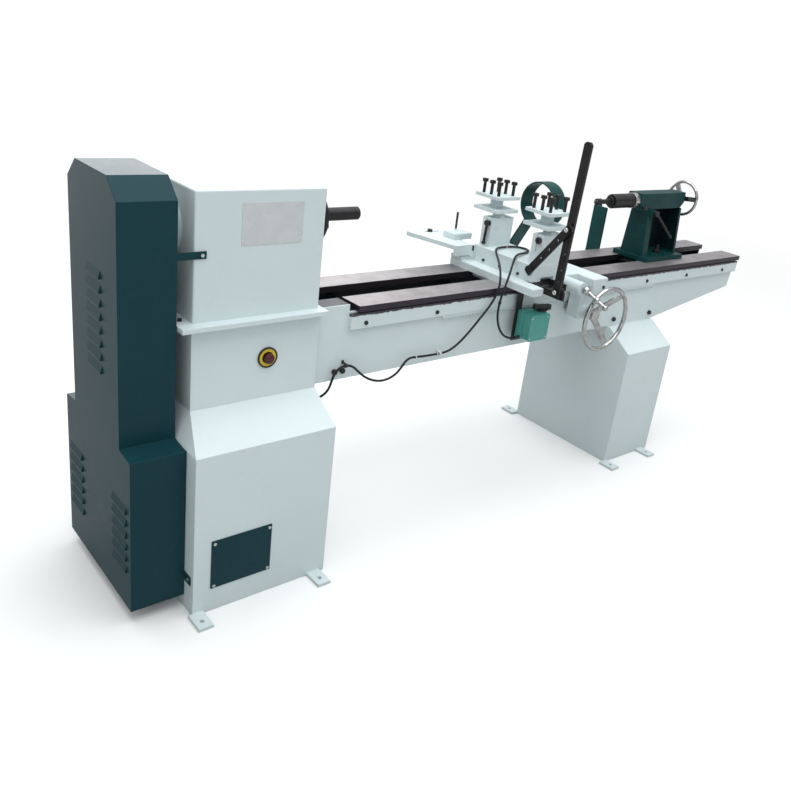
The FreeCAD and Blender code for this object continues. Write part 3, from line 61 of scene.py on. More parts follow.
def placeCamera(look):
    right = Vector(look["right"]).normalized()
    up = Vector(look["up"])
    up = (up - right * up.dot(right)).normalized()
    back = right.cross(up)
    lensData = bpy.data.cameras.new("camera")
    lensData.lens = look["lens"]
    lensData.sensor_width = 36
    lensData.shift_x = look["shiftX"]
    lensData.shift_y = look["shiftY"]
    lensData.clip_end = 100
    camera = bpy.data.objects.new("camera", lensData)
    turn = Matrix((right, up, back)).transposed().to_4x4()
    camera.matrix_world = Matrix.Translation(look["place"]) @ turn
    scene.collection.objects.link(camera)
    scene.camera = camera


placeCamera(cameraLook)
print("camera placed")


# Finishes. Each one is a small node tree that starts from the piece's own coordinates in metres
def startFinish(name):
    material = bpy.data.materials.new(name)
    material.use_nodes = True
    tree = material.node_tree
    shader = tree.nodes["Principled BSDF"]
    place = tree.nodes.new("ShaderNodeTexCoord").outputs["Object"]
    return material, tree, shader, place


def addNode(tree, kind, **values):
    node = tree.nodes.new(kind)
    for key, value in values.items():
        if hasattr(node, key):
            setattr(node, key, value)
        else:
            node.inputs[key.replace("_", " ")].default_value = value
    return node


def noise(tree, place, size, detail=3.0, rough=0.55, stretch=(1, 1, 1)):
    # size is the width of one blotch in metres
    scaled = addNode(tree, "ShaderNodeMapping")
    scaled.inputs["Scale"].default_value = [s / size for s in stretch]
    tree.links.new(place, scaled.inputs["Vector"])
    made = addNode(tree, "ShaderNodeTexNoise", Scale=1.0, Detail=detail, Roughness=rough)
    tree.links.new(scaled.outputs["Vector"], made.inputs["Vector"])
    return made.outputs["Fac"]


def ramp(tree, value, low, high, atLow=0.0, atHigh=1.0):
    made = addNode(tree, "ShaderNodeMapRange", clamp=True)
    made.inputs["From Min"].default_value = low
    made.inputs["From Max"].default_value = high
    made.inputs["To Min"].default_value = atLow
    made.inputs["To Max"].default_value = atHigh
    tree.links.new(value, made.inputs["Value"])
    return made.outputs["Result"]


def mixColour(tree, share, first, second, blend="MIX"):
    made = addNode(tree, "ShaderNodeMix", data_type="RGBA", blend_type=blend)
    for socket, value in ((made.inputs[0], share), (made.inputs[6], first), (made.inputs[7], second)):
        if isinstance(value, bpy.types.NodeSocket):
            tree.links.new(value, socket)
        elif socket.type == "RGBA":
            socket.default_value = (*value, 1)
        else:
            socket.default_value = value
    return made.outputs[2]


def maths(tree, operation, first, second=0.0):
    made = addNode(tree, "ShaderNodeMath", operation=operation, use_clamp=False)
    for socket, value in ((made.inputs[0], first), (made.inputs[1], second)):
        if isinstance(value, bpy.types.NodeSocket):
            tree.links.new(value, socket)
        else:
            socket.default_value = value
    return made.outputs[0]


def height(tree, place):
    parts = addNode(tree, "ShaderNodeSeparateXYZ")
    tree.links.new(place, parts.inputs[0])
    return parts.outputs["Z"]


def edges(tree, radius):
    # 1 along the sharp edges of a piece, 0 on its flat faces
    soft = addNode(tree, "ShaderNodeBevel", samples=6)
    soft.inputs["Radius"].default_value = radius
    flat = addNode(tree, "ShaderNodeNewGeometry")
    same = addNode(tree, "ShaderNodeVectorMath", operation="DOT_PRODUCT")
    tree.links.new(soft.outputs["Normal"], same.inputs[0])
    tree.links.new(flat.outputs["Normal"], same.inputs[1])
    return ramp(tree, same.outputs["Value"], 0.985, 0.80), soft.outputs["Normal"]


def facing(tree):
    # 1 on faces that look up, 0 on upright ones
    flat = addNode(tree, "ShaderNodeNewGeometry")
    parts = addNode(tree, "ShaderNodeSeparateXYZ")
    tree.links.new(flat.outputs["Normal"], parts.inputs[0])
    return ramp(tree, parts.outputs["Z"], 0.35, 0.75)


def region(tree, place, where):
    # 1 where the piece has its second colour: beyond a height, within a reach, out from an axis
    # or inside a box
    if "low" in where:
        middle = [(low + high) / 2 for low, high in zip(where["low"], where["high"])]
        half = [(high - low) / 2 for low, high in zip(where["low"], where["high"])]
        for operation, values in (("SUBTRACT", middle), ("ABSOLUTE", None), ("SUBTRACT", half)):
            made = addNode(tree, "ShaderNodeVectorMath", operation=operation)
            tree.links.new(place, made.inputs[0])
            if values:
                made.inputs[1].default_value = values
            place = made.outputs[0]
        parts = addNode(tree, "ShaderNodeSeparateXYZ")
        tree.links.new(place, parts.inputs[0])
        out = maths(tree, "MAXIMUM", parts.outputs["X"], parts.outputs["Y"])
        return ramp(tree, maths(tree, "MAXIMUM", out, parts.outputs["Z"]), 0.0, -0.0006)
    parts = addNode(tree, "ShaderNodeSeparateXYZ")
    tree.links.new(place, parts.inputs[0])
    if "middle" in where:
        across = maths(tree, "SUBTRACT", parts.outputs["X"], where["middle"][0])
        up = maths(tree, "SUBTRACT", parts.outputs["Z"], where["middle"][1])
        value = maths(tree, "SQRT", maths(tree, "ADD", maths(tree, "MULTIPLY", across, across),
                                          maths(tree, "MULTIPLY", up, up)))
    else:
        value = parts.outputs[where["axis"]]
    if where.get("bothSides"):
        value = maths(tree, "ABSOLUTE", value)
    if where.get("ragged"):
        rough = maths(tree, "SUBTRACT", noise(tree, place, where["raggedSize"], 5, 0.65), 0.5)
        value = maths(tree, "ADD", value, maths(tree, "MULTIPLY", rough, where["ragged"]))
    return ramp(tree, value, where["from"], where["to"])


def bump(tree, shader, value, depth, below):
    made = addNode(tree, "ShaderNodeBump", Strength=1.0, Distance=depth)
    tree.links.new(value, made.inputs["Height"])
    tree.links.new(below, made.inputs["Normal"])
    tree.links.new(made.outputs["Normal"], shader.inputs["Normal"])


def shine(tree, shader, value, look):
    # The roughness wanders between the two ends of its spread, and gloss is the strength of reflection
    smooth, rough = look["roughSpread"]
    wander = ramp(tree, value, 0.3, 0.7, look["roughness"] - smooth, look["roughness"] + rough)
    tree.links.new(wander, shader.inputs["Roughness"])
    shader.inputs["Specular IOR Level"].default_value = look["gloss"]


def paint(name, look):
    # Sprayed enamel: orange peel, faint cloudiness, dust low down, rubbed edges
    material, tree, shader, place = startFinish(name)
    cloud = ramp(tree, noise(tree, place, look["cloudSize"], 4), 0.35, 0.65)
    colour = mixColour(tree, cloud, look["colour"], look["cloudColour"])
    grime = noise(tree, place, look["grimeSize"], 6, 0.7)
    grime = maths(tree, "MULTIPLY", ramp(tree, grime, 0.56, 0.78), look["grime"])
    colour = mixColour(tree, grime, colour, look["grimeColour"])
    if look.get("dustHigh"):
        low = ramp(tree, height(tree, place), 0.0, look["dustHigh"], look["grime"], 0.0)
        dust = maths(tree, "MULTIPLY", low, noise(tree, place, look["dustSize"], 5, 0.7))
        colour = mixColour(tree, dust, colour, look["grimeColour"])
    rim, softNormal = edges(tree, look["softEdge"])
    chips = ramp(tree, noise(tree, place, look["wearSize"], 5, 0.7), 0.42, 0.62)
    worn = maths(tree, "MULTIPLY", maths(tree, "MULTIPLY", rim, chips), look["edgeWear"])
    colour = mixColour(tree, worn, colour, look["edgeColour"])
    for where in look.get("regions", []):
        patch = mixColour(tree, cloud, where["colour"], [share * 1.5 for share in where["colour"]])
        colour = mixColour(tree, region(tree, place, where), colour, patch)
    tree.links.new(colour, shader.inputs["Base Color"])
    shine(tree, shader, noise(tree, place, look["smearSize"], 5, 0.6), look)
    peel = noise(tree, place, look["peelSize"], 3, 0.5)
    bump(tree, shader, peel, look["peelDepth"], softNormal)
    return material


def steel(name, look):
    # Bare metal: tool marks along one axis, darker stains, bright or dark edges
    material, tree, shader, place = startFinish(name)
    marks = noise(tree, place, look["markSize"], 3, 0.6, look["markStretch"])
    stain = ramp(tree, noise(tree, place, look["stainSize"], 5, 0.65), 0.40, 0.72)
    colour = mixColour(tree, ramp(tree, marks, 0.3, 0.7), look["colour"], look["markColour"])
    colour = mixColour(tree, maths(tree, "MULTIPLY", stain, look["stain"]), colour, look["stainColour"])
    rim, softNormal = edges(tree, look["softEdge"])
    colour = mixColour(tree, maths(tree, "MULTIPLY", rim, look["edgeShare"]), colour, look["edgeColour"])
    # Faces that don't look up take a darker colour: partly the sides' own dark finish, partly painted
    # shade on the upright sides.
    if look.get("sideTintAndShade"):
        colour = mixColour(tree, facing(tree), look["sideTintAndShade"], colour)
    for where in look.get("regions", []):
        colour = mixColour(tree, region(tree, place, where), colour, where["colour"])
    tree.links.new(colour, shader.inputs["Base Color"])
    shader.inputs["Metallic"].default_value = look["metal"]
    shine(tree, shader, marks, look)
    bump(tree, shader, marks, look["markDepth"], softNormal)
    return material


def moulded(name, look):
    # Plastic or rubber: fine grain, slight unevenness of colour and gloss
    material, tree, shader, place = startFinish(name)
    patch = ramp(tree, noise(tree, place, look["patchSize"], 4), 0.35, 0.65)
    colour = mixColour(tree, patch, look["colour"], look["patchColour"])
    rim, softNormal = edges(tree, look["softEdge"])
    # A steady rim of edgeColour along every sharp edge: painted highlight where it is lighter than the
    # body (switch box, stop parts, ties, knobs, rubber), painted shade where it is darker (blank plate).
    colour = mixColour(tree, maths(tree, "MULTIPLY", rim, look["edgeShare"]), colour, look["edgeColour"])
    for where in look.get("regions", []):
        colour = mixColour(tree, region(tree, place, where), colour, where["colour"])
    tree.links.new(colour, shader.inputs["Base Color"])
    shine(tree, shader, noise(tree, place, look["smearSize"], 4), look)
    bump(tree, shader, noise(tree, place, look["grainSize"], 2), look["grainDepth"], softNormal)
    return material


cabinetPaint = {
    "colour": (0.66, 0.75, 0.76),
    "cloudColour": (0.62, 0.71, 0.725),
    "cloudSize": 0.5,
    "grime": 0.10,
    "grimeColour": (0.33, 0.34, 0.31),
    "grimeSize": 0.035,
    "dustHigh": 0.16,
    "dustSize": 0.02,
    "softEdge": 0.0022,
    "edgeWear": 0.5,
    "edgeColour": (0.80, 0.84, 0.83),
    "wearSize": 0.012,
    "roughness": 0.42,
    "roughSpread": (0.06, 0.06),
    "smearSize": 0.09,
    "gloss": 0.5,
    "peelSize": 0.0022,
    "peelDepth": 0.00012,
}
castingPaint = dict(
    cabinetPaint, cloudSize=0.08, grime=0.28, dustHigh=0, softEdge=0.0016, edgeWear=0.75,
    edgeColour=(0.42, 0.43, 0.42), roughness=0.46, peelSize=0.0035, peelDepth=0.00035)
# The beams' faces within 0.131 m of the bed's middle are painted almost black: painted shade in the gap
# between the two beams.
beamPaint = dict(cabinetPaint, regions=[
    {"axis": "Y", "bothSides": True, "from": 0.1312, "to": 0.1302, "colour": (0.020, 0.021, 0.026)}])
stripPaint = dict(cabinetPaint, regions=[
    {"axis": "Z", "from": 0.8065, "to": 0.8085, "ragged": 0.016, "raggedSize": 0.018,
     "colour": (0.045, 0.038, 0.048)}])
coverPaint = dict(cabinetPaint, regions=[
    {"axis": "X", "from": 0.0, "to": 0.001, "colour": (0.016, 0.016, 0.018)}])
pinPaint = dict(castingPaint, regions=[
    {"axis": "Z", "from": 0.9600, "to": 0.9605, "colour": (0.030, 0.029, 0.028)}])
guardPaint = dict(
    cabinetPaint, colour=(0.007, 0.040, 0.052), cloudColour=(0.009, 0.045, 0.057), cloudSize=0.6,
    grime=0.06, grimeColour=(0.10, 0.13, 0.12), dustHigh=0.22, softEdge=0.0030, edgeWear=0.35,
    edgeColour=(0.03, 0.11, 0.13), roughness=0.30, roughSpread=(0.015, 0.015), gloss=0.12,
    peelSize=0.0024, peelDepth=0.00003)
tailstockPaint = dict(
    guardPaint, colour=(0.005, 0.041, 0.043), cloudColour=(0.008, 0.049, 0.051), cloudSize=0.05,
    dustHigh=0, grime=0.20, softEdge=0.0022, edgeWear=0.7, edgeColour=(0.05, 0.08, 0.08),
    roughness=0.36, peelSize=0.0045, peelDepth=0.00045,
    # Inside the open-fronted pedestal the colour is almost black: painted shade in its recess.
    regions=[{"low": (2.0355, -0.0575, 0.872), "high": (2.2365, 0.0246, 1.0655),
              "colour": (0.0045, 0.0075, 0.0095)}])
postPaint = dict(
    guardPaint, colour=(0.006, 0.050, 0.048), cloudColour=(0.010, 0.060, 0.057), cloudSize=0.08,
    grime=0.15, edgeWear=0.6)
railSteel = {
    "colour": (0.37, 0.345, 0.355),
    "markColour": (0.47, 0.445, 0.45),
    "markSize": 0.0012,
    "markStretch": (0.02, 1, 1),
    "markDepth": 0.00004,
    "stain": 0.55,
    "stainColour": (0.21, 0.18, 0.185),
    "stainSize": 0.07,
    "softEdge": 0.0012,
    "edgeShare": 0.6,
    "edgeColour": (0.10, 0.09, 0.085),
    # the upright sides: their darker finish together with painted shade
    "sideTintAndShade": (0.050, 0.042, 0.052),
    "metal": 0.75,
    "roughness": 0.42,
    "roughSpread": (0.06, 0.08),
    "gloss": 0.5,
}
turnedSteel = dict(
    railSteel, sideTintAndShade=None, colour=(0.52, 0.51, 0.49), markColour=(0.62, 0.61, 0.59),
    markStretch=(1, 0.2, 0.2), stain=0.25, edgeColour=(0.75, 0.74, 0.72), metal=0.95, roughness=0.30,
    softEdge=0.0008)
blackOxide = {
    "colour": (0.018, 0.018, 0.020),
    "markColour": (0.030, 0.030, 0.032),
    "markSize": 0.0015,
    "markStretch": (0.6, 1, 1),
    "markDepth": 0.00005,
    "stain": 0.35,
    "stainColour": (0.055, 0.050, 0.045),
    "stainSize": 0.03,
    "softEdge": 0.0009,
    "edgeShare": 0.7,
    "edgeColour": (0.17, 0.165, 0.16),
    "metal": 0.6,
    "roughness": 0.40,
    "roughSpread": (0.06, 0.08),
    "gloss": 0.5,
}
barSteel = dict(
    blackOxide, colour=(0.013, 0.012, 0.013), markColour=(0.020, 0.019, 0.020), markSize=0.004,
    stain=0.4, stainColour=(0.045, 0.040, 0.038), softEdge=0.0014, metal=0.3, gloss=0.32, roughness=0.40)
zincPlate = dict(
    turnedSteel, colour=(0.60, 0.60, 0.57), markColour=(0.68, 0.68, 0.66), markStretch=(1, 1, 1),
    stain=0.2, stainColour=(0.42, 0.41, 0.36), roughness=0.26)
chromePlate = {
    "colour": (0.50, 0.505, 0.50),
    "markColour": (0.60, 0.605, 0.60),
    "markSize": 0.004,
    "markStretch": (1, 1, 1),
    "markDepth": 0.000015,
    "stain": 0.7,
    "stainColour": (0.20, 0.19, 0.165),
    "stainSize": 0.022,
    "softEdge": 0.0012,
    "edgeShare": 0.2,
    "edgeColour": (0.80, 0.80, 0.80),
    "metal": 1.0,
    "roughness": 0.10,
    "roughSpread": (0.06, 0.08),
    "gloss": 0.5,
}
beltRubber = {
    "colour": (0.020, 0.020, 0.021),
    "patchColour": (0.034, 0.033, 0.032),
    "patchSize": 0.03,
    "softEdge": 0.0008,
    "edgeShare": 0.35,
    "edgeColour": (0.07, 0.07, 0.07),
    "roughness": 0.62,
    "roughSpread": (0.05, 0.08),
    "smearSize": 0.01,
    "gloss": 0.5,
    "grainSize": 0.0010,
    "grainDepth": 0.00008,
}
cableJacket = dict(
    beltRubber, colour=(0.009, 0.010, 0.012), patchColour=(0.014, 0.015, 0.017),
    edgeColour=(0.02, 0.02, 0.02), roughness=0.42, gloss=0.30, grainSize=0.0006, grainDepth=0.00003)
blackKnob = dict(
    beltRubber, colour=(0.010, 0.010, 0.011), patchColour=(0.018, 0.018, 0.018), roughness=0.34,
    grainDepth=0.00002)
clipPlastic = dict(
    blackKnob, regions=[{"axis": "X", "from": 0.60, "to": 0.61, "colour": (0.66, 0.67, 0.66)}])
switchJade = {
    "colour": (0.055, 0.30, 0.255),
    "patchColour": (0.075, 0.33, 0.285),
    "patchSize": 0.04,
    "softEdge": 0.0014,
    "edgeShare": 0.35,
    "edgeColour": (0.30, 0.52, 0.47),
    "roughness": 0.36,
    "roughSpread": (0.05, 0.08),
    "smearSize": 0.01,
    "gloss": 0.5,
    "grainSize": 0.0012,
    "grainDepth": 0.00005,
}
stopYellow = dict(
    switchJade, colour=(0.72, 0.52, 0.020), patchColour=(0.64, 0.44, 0.02),
    edgeColour=(0.85, 0.65, 0.15), regions=[
        {"middle": (0.068, 0.728), "from": 0.0265, "to": 0.0270, "colour": (0.020, 0.020, 0.016)},
        {"middle": (0.068, 0.728), "from": 0.0185, "to": 0.0180, "colour": (0.025, 0.018, 0.012)}])
stopRed = dict(
    switchJade, colour=(0.10, 0.008, 0.008), patchColour=(0.05, 0.008, 0.008),
    edgeColour=(0.30, 0.05, 0.04))
tieNylon = dict(
    switchJade, colour=(0.72, 0.72, 0.69), patchColour=(0.68, 0.68, 0.65), edgeColour=(0.80, 0.80, 0.78))
blankPlate = dict(
    switchJade, colour=(0.60, 0.63, 0.64), patchColour=(0.56, 0.59, 0.60), edgeColour=(0.40, 0.41, 0.41),
    roughness=0.30, grainSize=0.0008)

finishes = {
    "cabinetPaint": paint("cabinetPaint", cabinetPaint),
    "beamPaint": paint("beamPaint", beamPaint),
    "stripPaint": paint("stripPaint", stripPaint),
    "coverPaint": paint("coverPaint", coverPaint),
    "pinPaint": paint("pinPaint", pinPaint),
    "castingPaint": paint("castingPaint", castingPaint),
    "guardPaint": paint("guardPaint", guardPaint),
    "tailstockPaint": paint("tailstockPaint", tailstockPaint),
    "postPaint": paint("postPaint", postPaint),
    "railSteel": steel("railSteel", railSteel),
    "turnedSteel": steel("turnedSteel", turnedSteel),
    "blackOxide": steel("blackOxide", blackOxide),
    "barSteel": steel("barSteel", barSteel),
    "zincPlate": steel("zincPlate", zincPlate),
    "chromePlate": steel("chromePlate", chromePlate),
    "beltRubber": moulded("beltRubber", beltRubber),
    "cableJacket": moulded("cableJacket", cableJacket),
    "blackKnob": moulded("blackKnob", blackKnob),
    "clipPlastic": moulded("clipPlastic", clipPlastic),
    "switchJade": moulded("switchJade", switchJade),
    "stopYellow": moulded("stopYellow", stopYellow),
    "stopRed": moulded("stopRed", stopRed),
    "tieNylon": moulded("tieNylon", tieNylon),
    "blankPlate": moulded("blankPlate", blankPlate),
}

finishOf = {
    "cabinetPaint": ["column", "headstock_plate", "headstock_housing", "tail_leg"],
    "beamPaint": ["front_beam", "rear_beam", "feed_rack"],
    "stripPaint": ["edge_strip"],
    "coverPaint": ["bearing_covers"],
    "castingPaint": ["saddle", "cross_slide", "tool_posts", "tool_holders", "follower_arm", "feed_box"],
    "pinPaint": ["follower_block"],
    "guardPaint": ["belt_guard", "access_panel", "bed_ties"],
    "postPaint": ["template_post", "steady_ring"],
    "tailstockPaint": ["tailstock_body", "tailstock_barrel", "motor"],
    "railSteel": ["bed_rails"],
    "turnedSteel": ["quill", "spindle_bearings", "feed_pinion", "saddle_keepers",
                    "spindle_pulley", "motor_pulley", "quill_collar"],
    "blackOxide": ["spindle_shaft", "spindle_plate", "frame_bolts", "tool_clamp_bolts", "slide_screws",
                   "centre_body", "centre_nose", "switch_plate", "rear_post_handle",
                   "tailstock_clamp"],
    "clipPlastic": ["cable_clips"],
    "barSteel": ["hand_lever", "slide_link", "lever_bracket", "tailstock_lever"],
    "zincPlate": ["cover_screws"],
    "chromePlate": ["feed_handwheel", "carriage_clamp_handle", "tail_handwheel"],
    "beltRubber": ["drive_belts"],
    "blackKnob": ["switch_knob", "front_post_knob"],
    "cableJacket": ["supply_cable", "carriage_cable"],
    "switchJade": ["switch_box"],
    "stopYellow": ["stop_collar"],
    "stopRed": ["stop_button"],
}
for finish, names in finishOf.items():
    for name in names:
        nodes[name].data.materials.clear()
        nodes[name].data.materials.append(finishes[finish])
print("finishes given")


def addPiece(name, mesh, finish, body):
    piece = bpy.data.objects.new(name, mesh)
    scene.collection.objects.link(piece)
    piece.data.materials.append(finishes[finish])
    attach(piece, body)
    return piece


def closeMesh(made, name):
    bmesh.ops.recalc_face_normals(made, faces=made.faces)
    mesh = bpy.data.meshes.new(name)
    made.to_mesh(mesh)
    made.free()
    return mesh


def skin(made, rings, closed=False, smooth=False):
    # Joins each ring of points to the next, and closes the two ends or runs back to the first ring
    follow = rings[1:] + rings[:1] if closed else rings[1:]
    for first, second in zip(rings, follow):
        for k in range(len(first)):
            after = (k + 1) % len(first)
            face = made.faces.new((first[k], first[after], second[after], second[k]))
            face.smooth = smooth
    if not closed:
        made.faces.new(rings[0][::-1])
        made.faces.new(rings[-1])


def circle(made, middle, side, other, radius, sides):
    turns = [2 * math.pi * k / sides for k in range(sides)]
    return [made.verts.new(middle + (side * math.cos(t) + other * math.sin(t)) * radius) for t in turns]


# Cables: the same points as in the CAD source, in metres
supplyCable = {
    "diameter": 0.008,
    "length": 0.62,
    "points": [
        (0.263, -0.120, 0.530), (0.283, -0.120, 0.530), (0.302, -0.124, 0.537), (0.315, -0.132, 0.552),
        (0.320, -0.141, 0.574), (0.320, -0.149, 0.598), (0.324, -0.153, 0.620), (0.337, -0.154, 0.638),
        (0.356, -0.154, 0.646), (0.376, -0.154, 0.646), (0.397, -0.155, 0.637), (0.416, -0.156, 0.619),
        (0.442, -0.156, 0.596), (0.475, -0.156, 0.577), (0.514, -0.156, 0.566), (0.552, -0.156, 0.569),
        (0.582, -0.156, 0.583), (0.602, -0.156, 0.605), (0.616, -0.155, 0.623), (0.638, -0.154, 0.631),
        (0.668, -0.154, 0.629), (0.706, -0.155, 0.627), (0.742, -0.154, 0.626), (0.770, -0.154, 0.626),
    ],
}
carriageCable = {
    "diameter": 0.008,
    "length": 1.30,
    "points": [
        (0.770, -0.154, 0.626), (0.796, -0.154, 0.626), (0.830, -0.156, 0.638), (0.868, -0.158, 0.666),
        (0.902, -0.160, 0.700), (0.934, -0.162, 0.736), (0.966, -0.163, 0.770), (0.992, -0.164, 0.806),
        (1.009, -0.163, 0.844), (1.022, -0.150, 0.878), (1.044, -0.120, 0.904), (1.070, -0.080, 0.922),
        (1.092, -0.042, 0.936), (1.122, -0.010, 0.941), (1.160, 0.008, 0.939), (1.200, 0.012, 0.938),
        (1.232, 0.009, 0.938), (1.256, -0.008, 0.938), (1.263, -0.036, 0.938), (1.250, -0.061, 0.938),
        (1.222, -0.075, 0.938), (1.190, -0.084, 0.939), (1.152, -0.098, 0.942), (1.116, -0.118, 0.942),
        (1.082, -0.142, 0.922), (1.052, -0.162, 0.888), (1.028, -0.172, 0.847), (1.008, -0.178, 0.802),
        (0.998, -0.184, 0.756), (1.006, -0.190, 0.710), (1.030, -0.196, 0.674), (1.064, -0.200, 0.658),
        (1.092, -0.20008, 0.657), (1.116, -0.20008, 0.657),
    ],
    "bendsFrom": (0.79, 0, 0),
    "bendsTo": (0.985, 0, 0),
}


def routeCurve(name, points):
    curve = bpy.data.curves.new(name, "CURVE")
    curve.dimensions = "3D"
    curve.resolution_u = 12
    spline = curve.splines.new("NURBS")
    spline.points.add(len(points) - 1)
    for place, point in zip(points, spline.points):
        point.co = (*place, 1)
    spline.order_u = 3
    spline.use_endpoint_u = True
    return curve


def routeLine(name, points):
    holder = bpy.data.objects.new(name, routeCurve(name, points))
    scene.collection.objects.link(holder)
    bpy.context.view_layer.update()
    mesh = bpy.data.meshes.new_from_object(holder)
    line = [vertex.co.copy() for vertex in mesh.vertices]
    bpy.data.objects.remove(holder)
    return line


def tubeMesh(name, line, radius, sides=12):
    made = bmesh.new()
    side = Vector((0, 0, 1))
    rings = []
    for i, middle in enumerate(line):
        ahead = (line[min(i + 1, len(line) - 1)] - line[max(i - 1, 0)]).normalized()
        side = (side - ahead * side.dot(ahead)).normalized()
        rings.append(circle(made, middle, side, ahead.cross(side), radius, sides))
    skin(made, rings, smooth=True)
    return closeMesh(made, name)


supplyCurve = routeCurve("supplyCable", supplyCable["points"])
supplyCurve.bevel_depth = supplyCable["diameter"] / 2
supplyCurve.bevel_resolution = 4
supplyPiece = addPiece("supplyCable", supplyCurve, "cableJacket", "base")
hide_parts("supply_cable")

carriageLine = routeLine("carriageRoute", carriageCable["points"])
carriagePiece = bpy.data.objects.new(
    "carriageCable", tubeMesh("carriageCable", carriageLine, carriageCable["diameter"] / 2))
scene.collection.objects.link(carriagePiece)
carriagePiece.data.materials.append(finishes["cableJacket"])
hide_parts("carriage_cable")
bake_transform(carriagePiece)
print("cables laid")


# Small pieces that the photograph shows on top of the CAD solids
def spun(name, outline, start, along, sides):
    # Turns an outline of (distance along, radius) about an axis
    along = Vector(along).normalized()
    side = along.orthogonal().normalized()
    made = bmesh.new()
    rings = [circle(made, Vector(start) + along * far, side, along.cross(side), radius, sides)
             for far, radius in outline]
    skin(made, rings, smooth=True)
    return closeMesh(made, name)


def uprightPlate(name, look):
    # A thin plate that faces the operator, with round corners and a fine chamfer in front
    made = bmesh.new()
    thick, corner = look["thick"], look["corner"]
    steps = 6  # per round corner
    rings = []
    for inset, out in ((0, 0), (0, thick * 0.6), (thick * 0.5, thick)):
        ring = []
        for turn, (across, up) in enumerate(((1, -1), (1, 1), (-1, 1), (-1, -1))):
            hub = Vector(look["middle"]) + Vector((
                across * (look["wide"] / 2 - corner), -out, up * (look["high"] / 2 - corner)))
            for step in range(steps + 1):
                angle = math.radians(90 * turn - 90 + 90 * step / steps)
                ring.append(made.verts.new(
                    hub + Vector((math.cos(angle), 0, math.sin(angle))) * (corner - inset)))
        rings.append(ring)
    skin(made, rings)
    return closeMesh(made, name)


def plateCorners(look, inset):
    # Where the four fasteners of such a plate sit, just under its front
    for across, up in ((-1, -1), (1, -1), (1, 1), (-1, 1)):
        yield Vector(look["middle"]) + Vector((
            across * (look["wide"] / 2 - inset), -look["thick"] * 0.9, up * (look["high"] / 2 - inset)))


def headOutline(radius, rise, socket=0.42):
    # A button head with a round socket, or a plain dome when socket is 0
    outline = [(0, radius), (rise * 0.35, radius * 0.98), (rise * 0.75, radius * 0.80)]
    outline += [(rise, radius * 0.5)]
    if not socket:
        return outline + [(rise * 1.04, radius * 0.02)]
    floor = rise * 0.45
    return outline + [(rise, radius * socket), (floor, radius * socket * 0.9), (floor, radius * 0.02)]


blankSign = {
    "middle": (0.0665, -0.1640, 1.1255),
    "wide": 0.193,
    "high": 0.119,
    "thick": 0.0010,
    "corner": 0.004,
    "rivetRadius": 0.0026,
    "rivetRise": 0.0011,
    "rivetInset": 0.007,
    "rivetSides": 16,
}
addPiece("blankSign", uprightPlate("blankSign", blankSign), "blankPlate", "base")
for number, spot in enumerate(plateCorners(blankSign, blankSign["rivetInset"])):
    name = "signRivet%d" % number
    rivetOutline = headOutline(blankSign["rivetRadius"], blankSign["rivetRise"], 0)
    rivet = spun(name, rivetOutline, spot, (0, -1, 0), blankSign["rivetSides"])
    addPiece(name, rivet, "zincPlate", "base")
print("blank sign riveted on")

pivotCaps = {
    "spots": {
        "leverFootCap": ((1.1052, -0.336, 0.872), "carriage"),
        "leverJointCap": ((1.0952, -0.3435, 1.0979), "hand_lever"),
    },
    "radius": 0.0085,
    "rise": 0.0035,
    "sides": 24,
}
for name, (spot, body) in pivotCaps["spots"].items():
    capOutline = headOutline(pivotCaps["radius"], pivotCaps["rise"])
    cap = spun(name, capOutline, spot, (-1, 0, 0), pivotCaps["sides"])
    addPiece(name, cap, "zincPlate", body)
print("pivot caps set")

cableTies = {
    "spots": [
        ((0.758, -0.154, 0.6262), (1, 0, 0.0), "base"),
        ((0.660, -0.154, 0.6295), (1, 0, -0.05), "base"),
        ((1.200, 0.012, 0.938), (1, 0, 0), "carriage"),
    ],
    "inner": 0.0041,
    "thick": 0.0012,
    "wide": 0.0036,
    "steps": 28,
    "head": 0.0042,
    "headDeep": 1.2,  # of its width
    "headStraight": 0.0022,
    "headRise": 0.0032,
    "headTurn": 0.9,  # radians from the operator's side, up
}


def tieMesh(name, spot, along, look):
    spot, along = Vector(spot), Vector(along).normalized()
    side = Vector((0, -1, 0))
    up = along.cross(side).normalized()
    made = bmesh.new()
    rings = []
    for k in range(look["steps"]):
        t = 2 * math.pi * k / look["steps"]
        out = side * math.cos(t) + up * math.sin(t)
        # the strap stands out a little where it runs into its head
        lift = max(0.0, math.cos(t - look["headTurn"])) ** 8 * look["thick"] * 0.8
        inner, outer = look["inner"] + lift, look["inner"] + look["thick"] + lift
        half = look["wide"] / 2
        corners = ((inner, -half), (outer, -half), (outer, half), (inner, half))
        rings.append([made.verts.new(spot + out * reach + along * shift) for reach, shift in corners])
    skin(made, rings, closed=True)
    # head: a small wedge block with its corners taken off
    out = side * math.cos(look["headTurn"]) + up * math.sin(look["headTurn"])
    across = along.cross(out) * look["headDeep"]
    base = spot + out * (look["inner"] + look["thick"])
    corners = ((-1, -0.7), (-0.7, -1), (0.7, -1), (1, -0.7), (1, 0.7), (0.7, 1), (-0.7, 1), (-1, 0.7))
    levels = []
    for rise, share in ((0, 1), (look["headStraight"], 1), (look["headRise"], 0.7)):
        middle, reach = base + out * rise, look["head"] / 2 * share
        levels.append([made.verts.new(middle + (along * a + across * b) * reach) for a, b in corners])
    skin(made, levels)
    return closeMesh(made, name)


for number, (spot, along, body) in enumerate(cableTies["spots"]):
    name = "cableTie%d" % number
    addPiece(name, tieMesh(name, spot, along, cableTies), "tieNylon", body)
print("cable ties pulled tight")

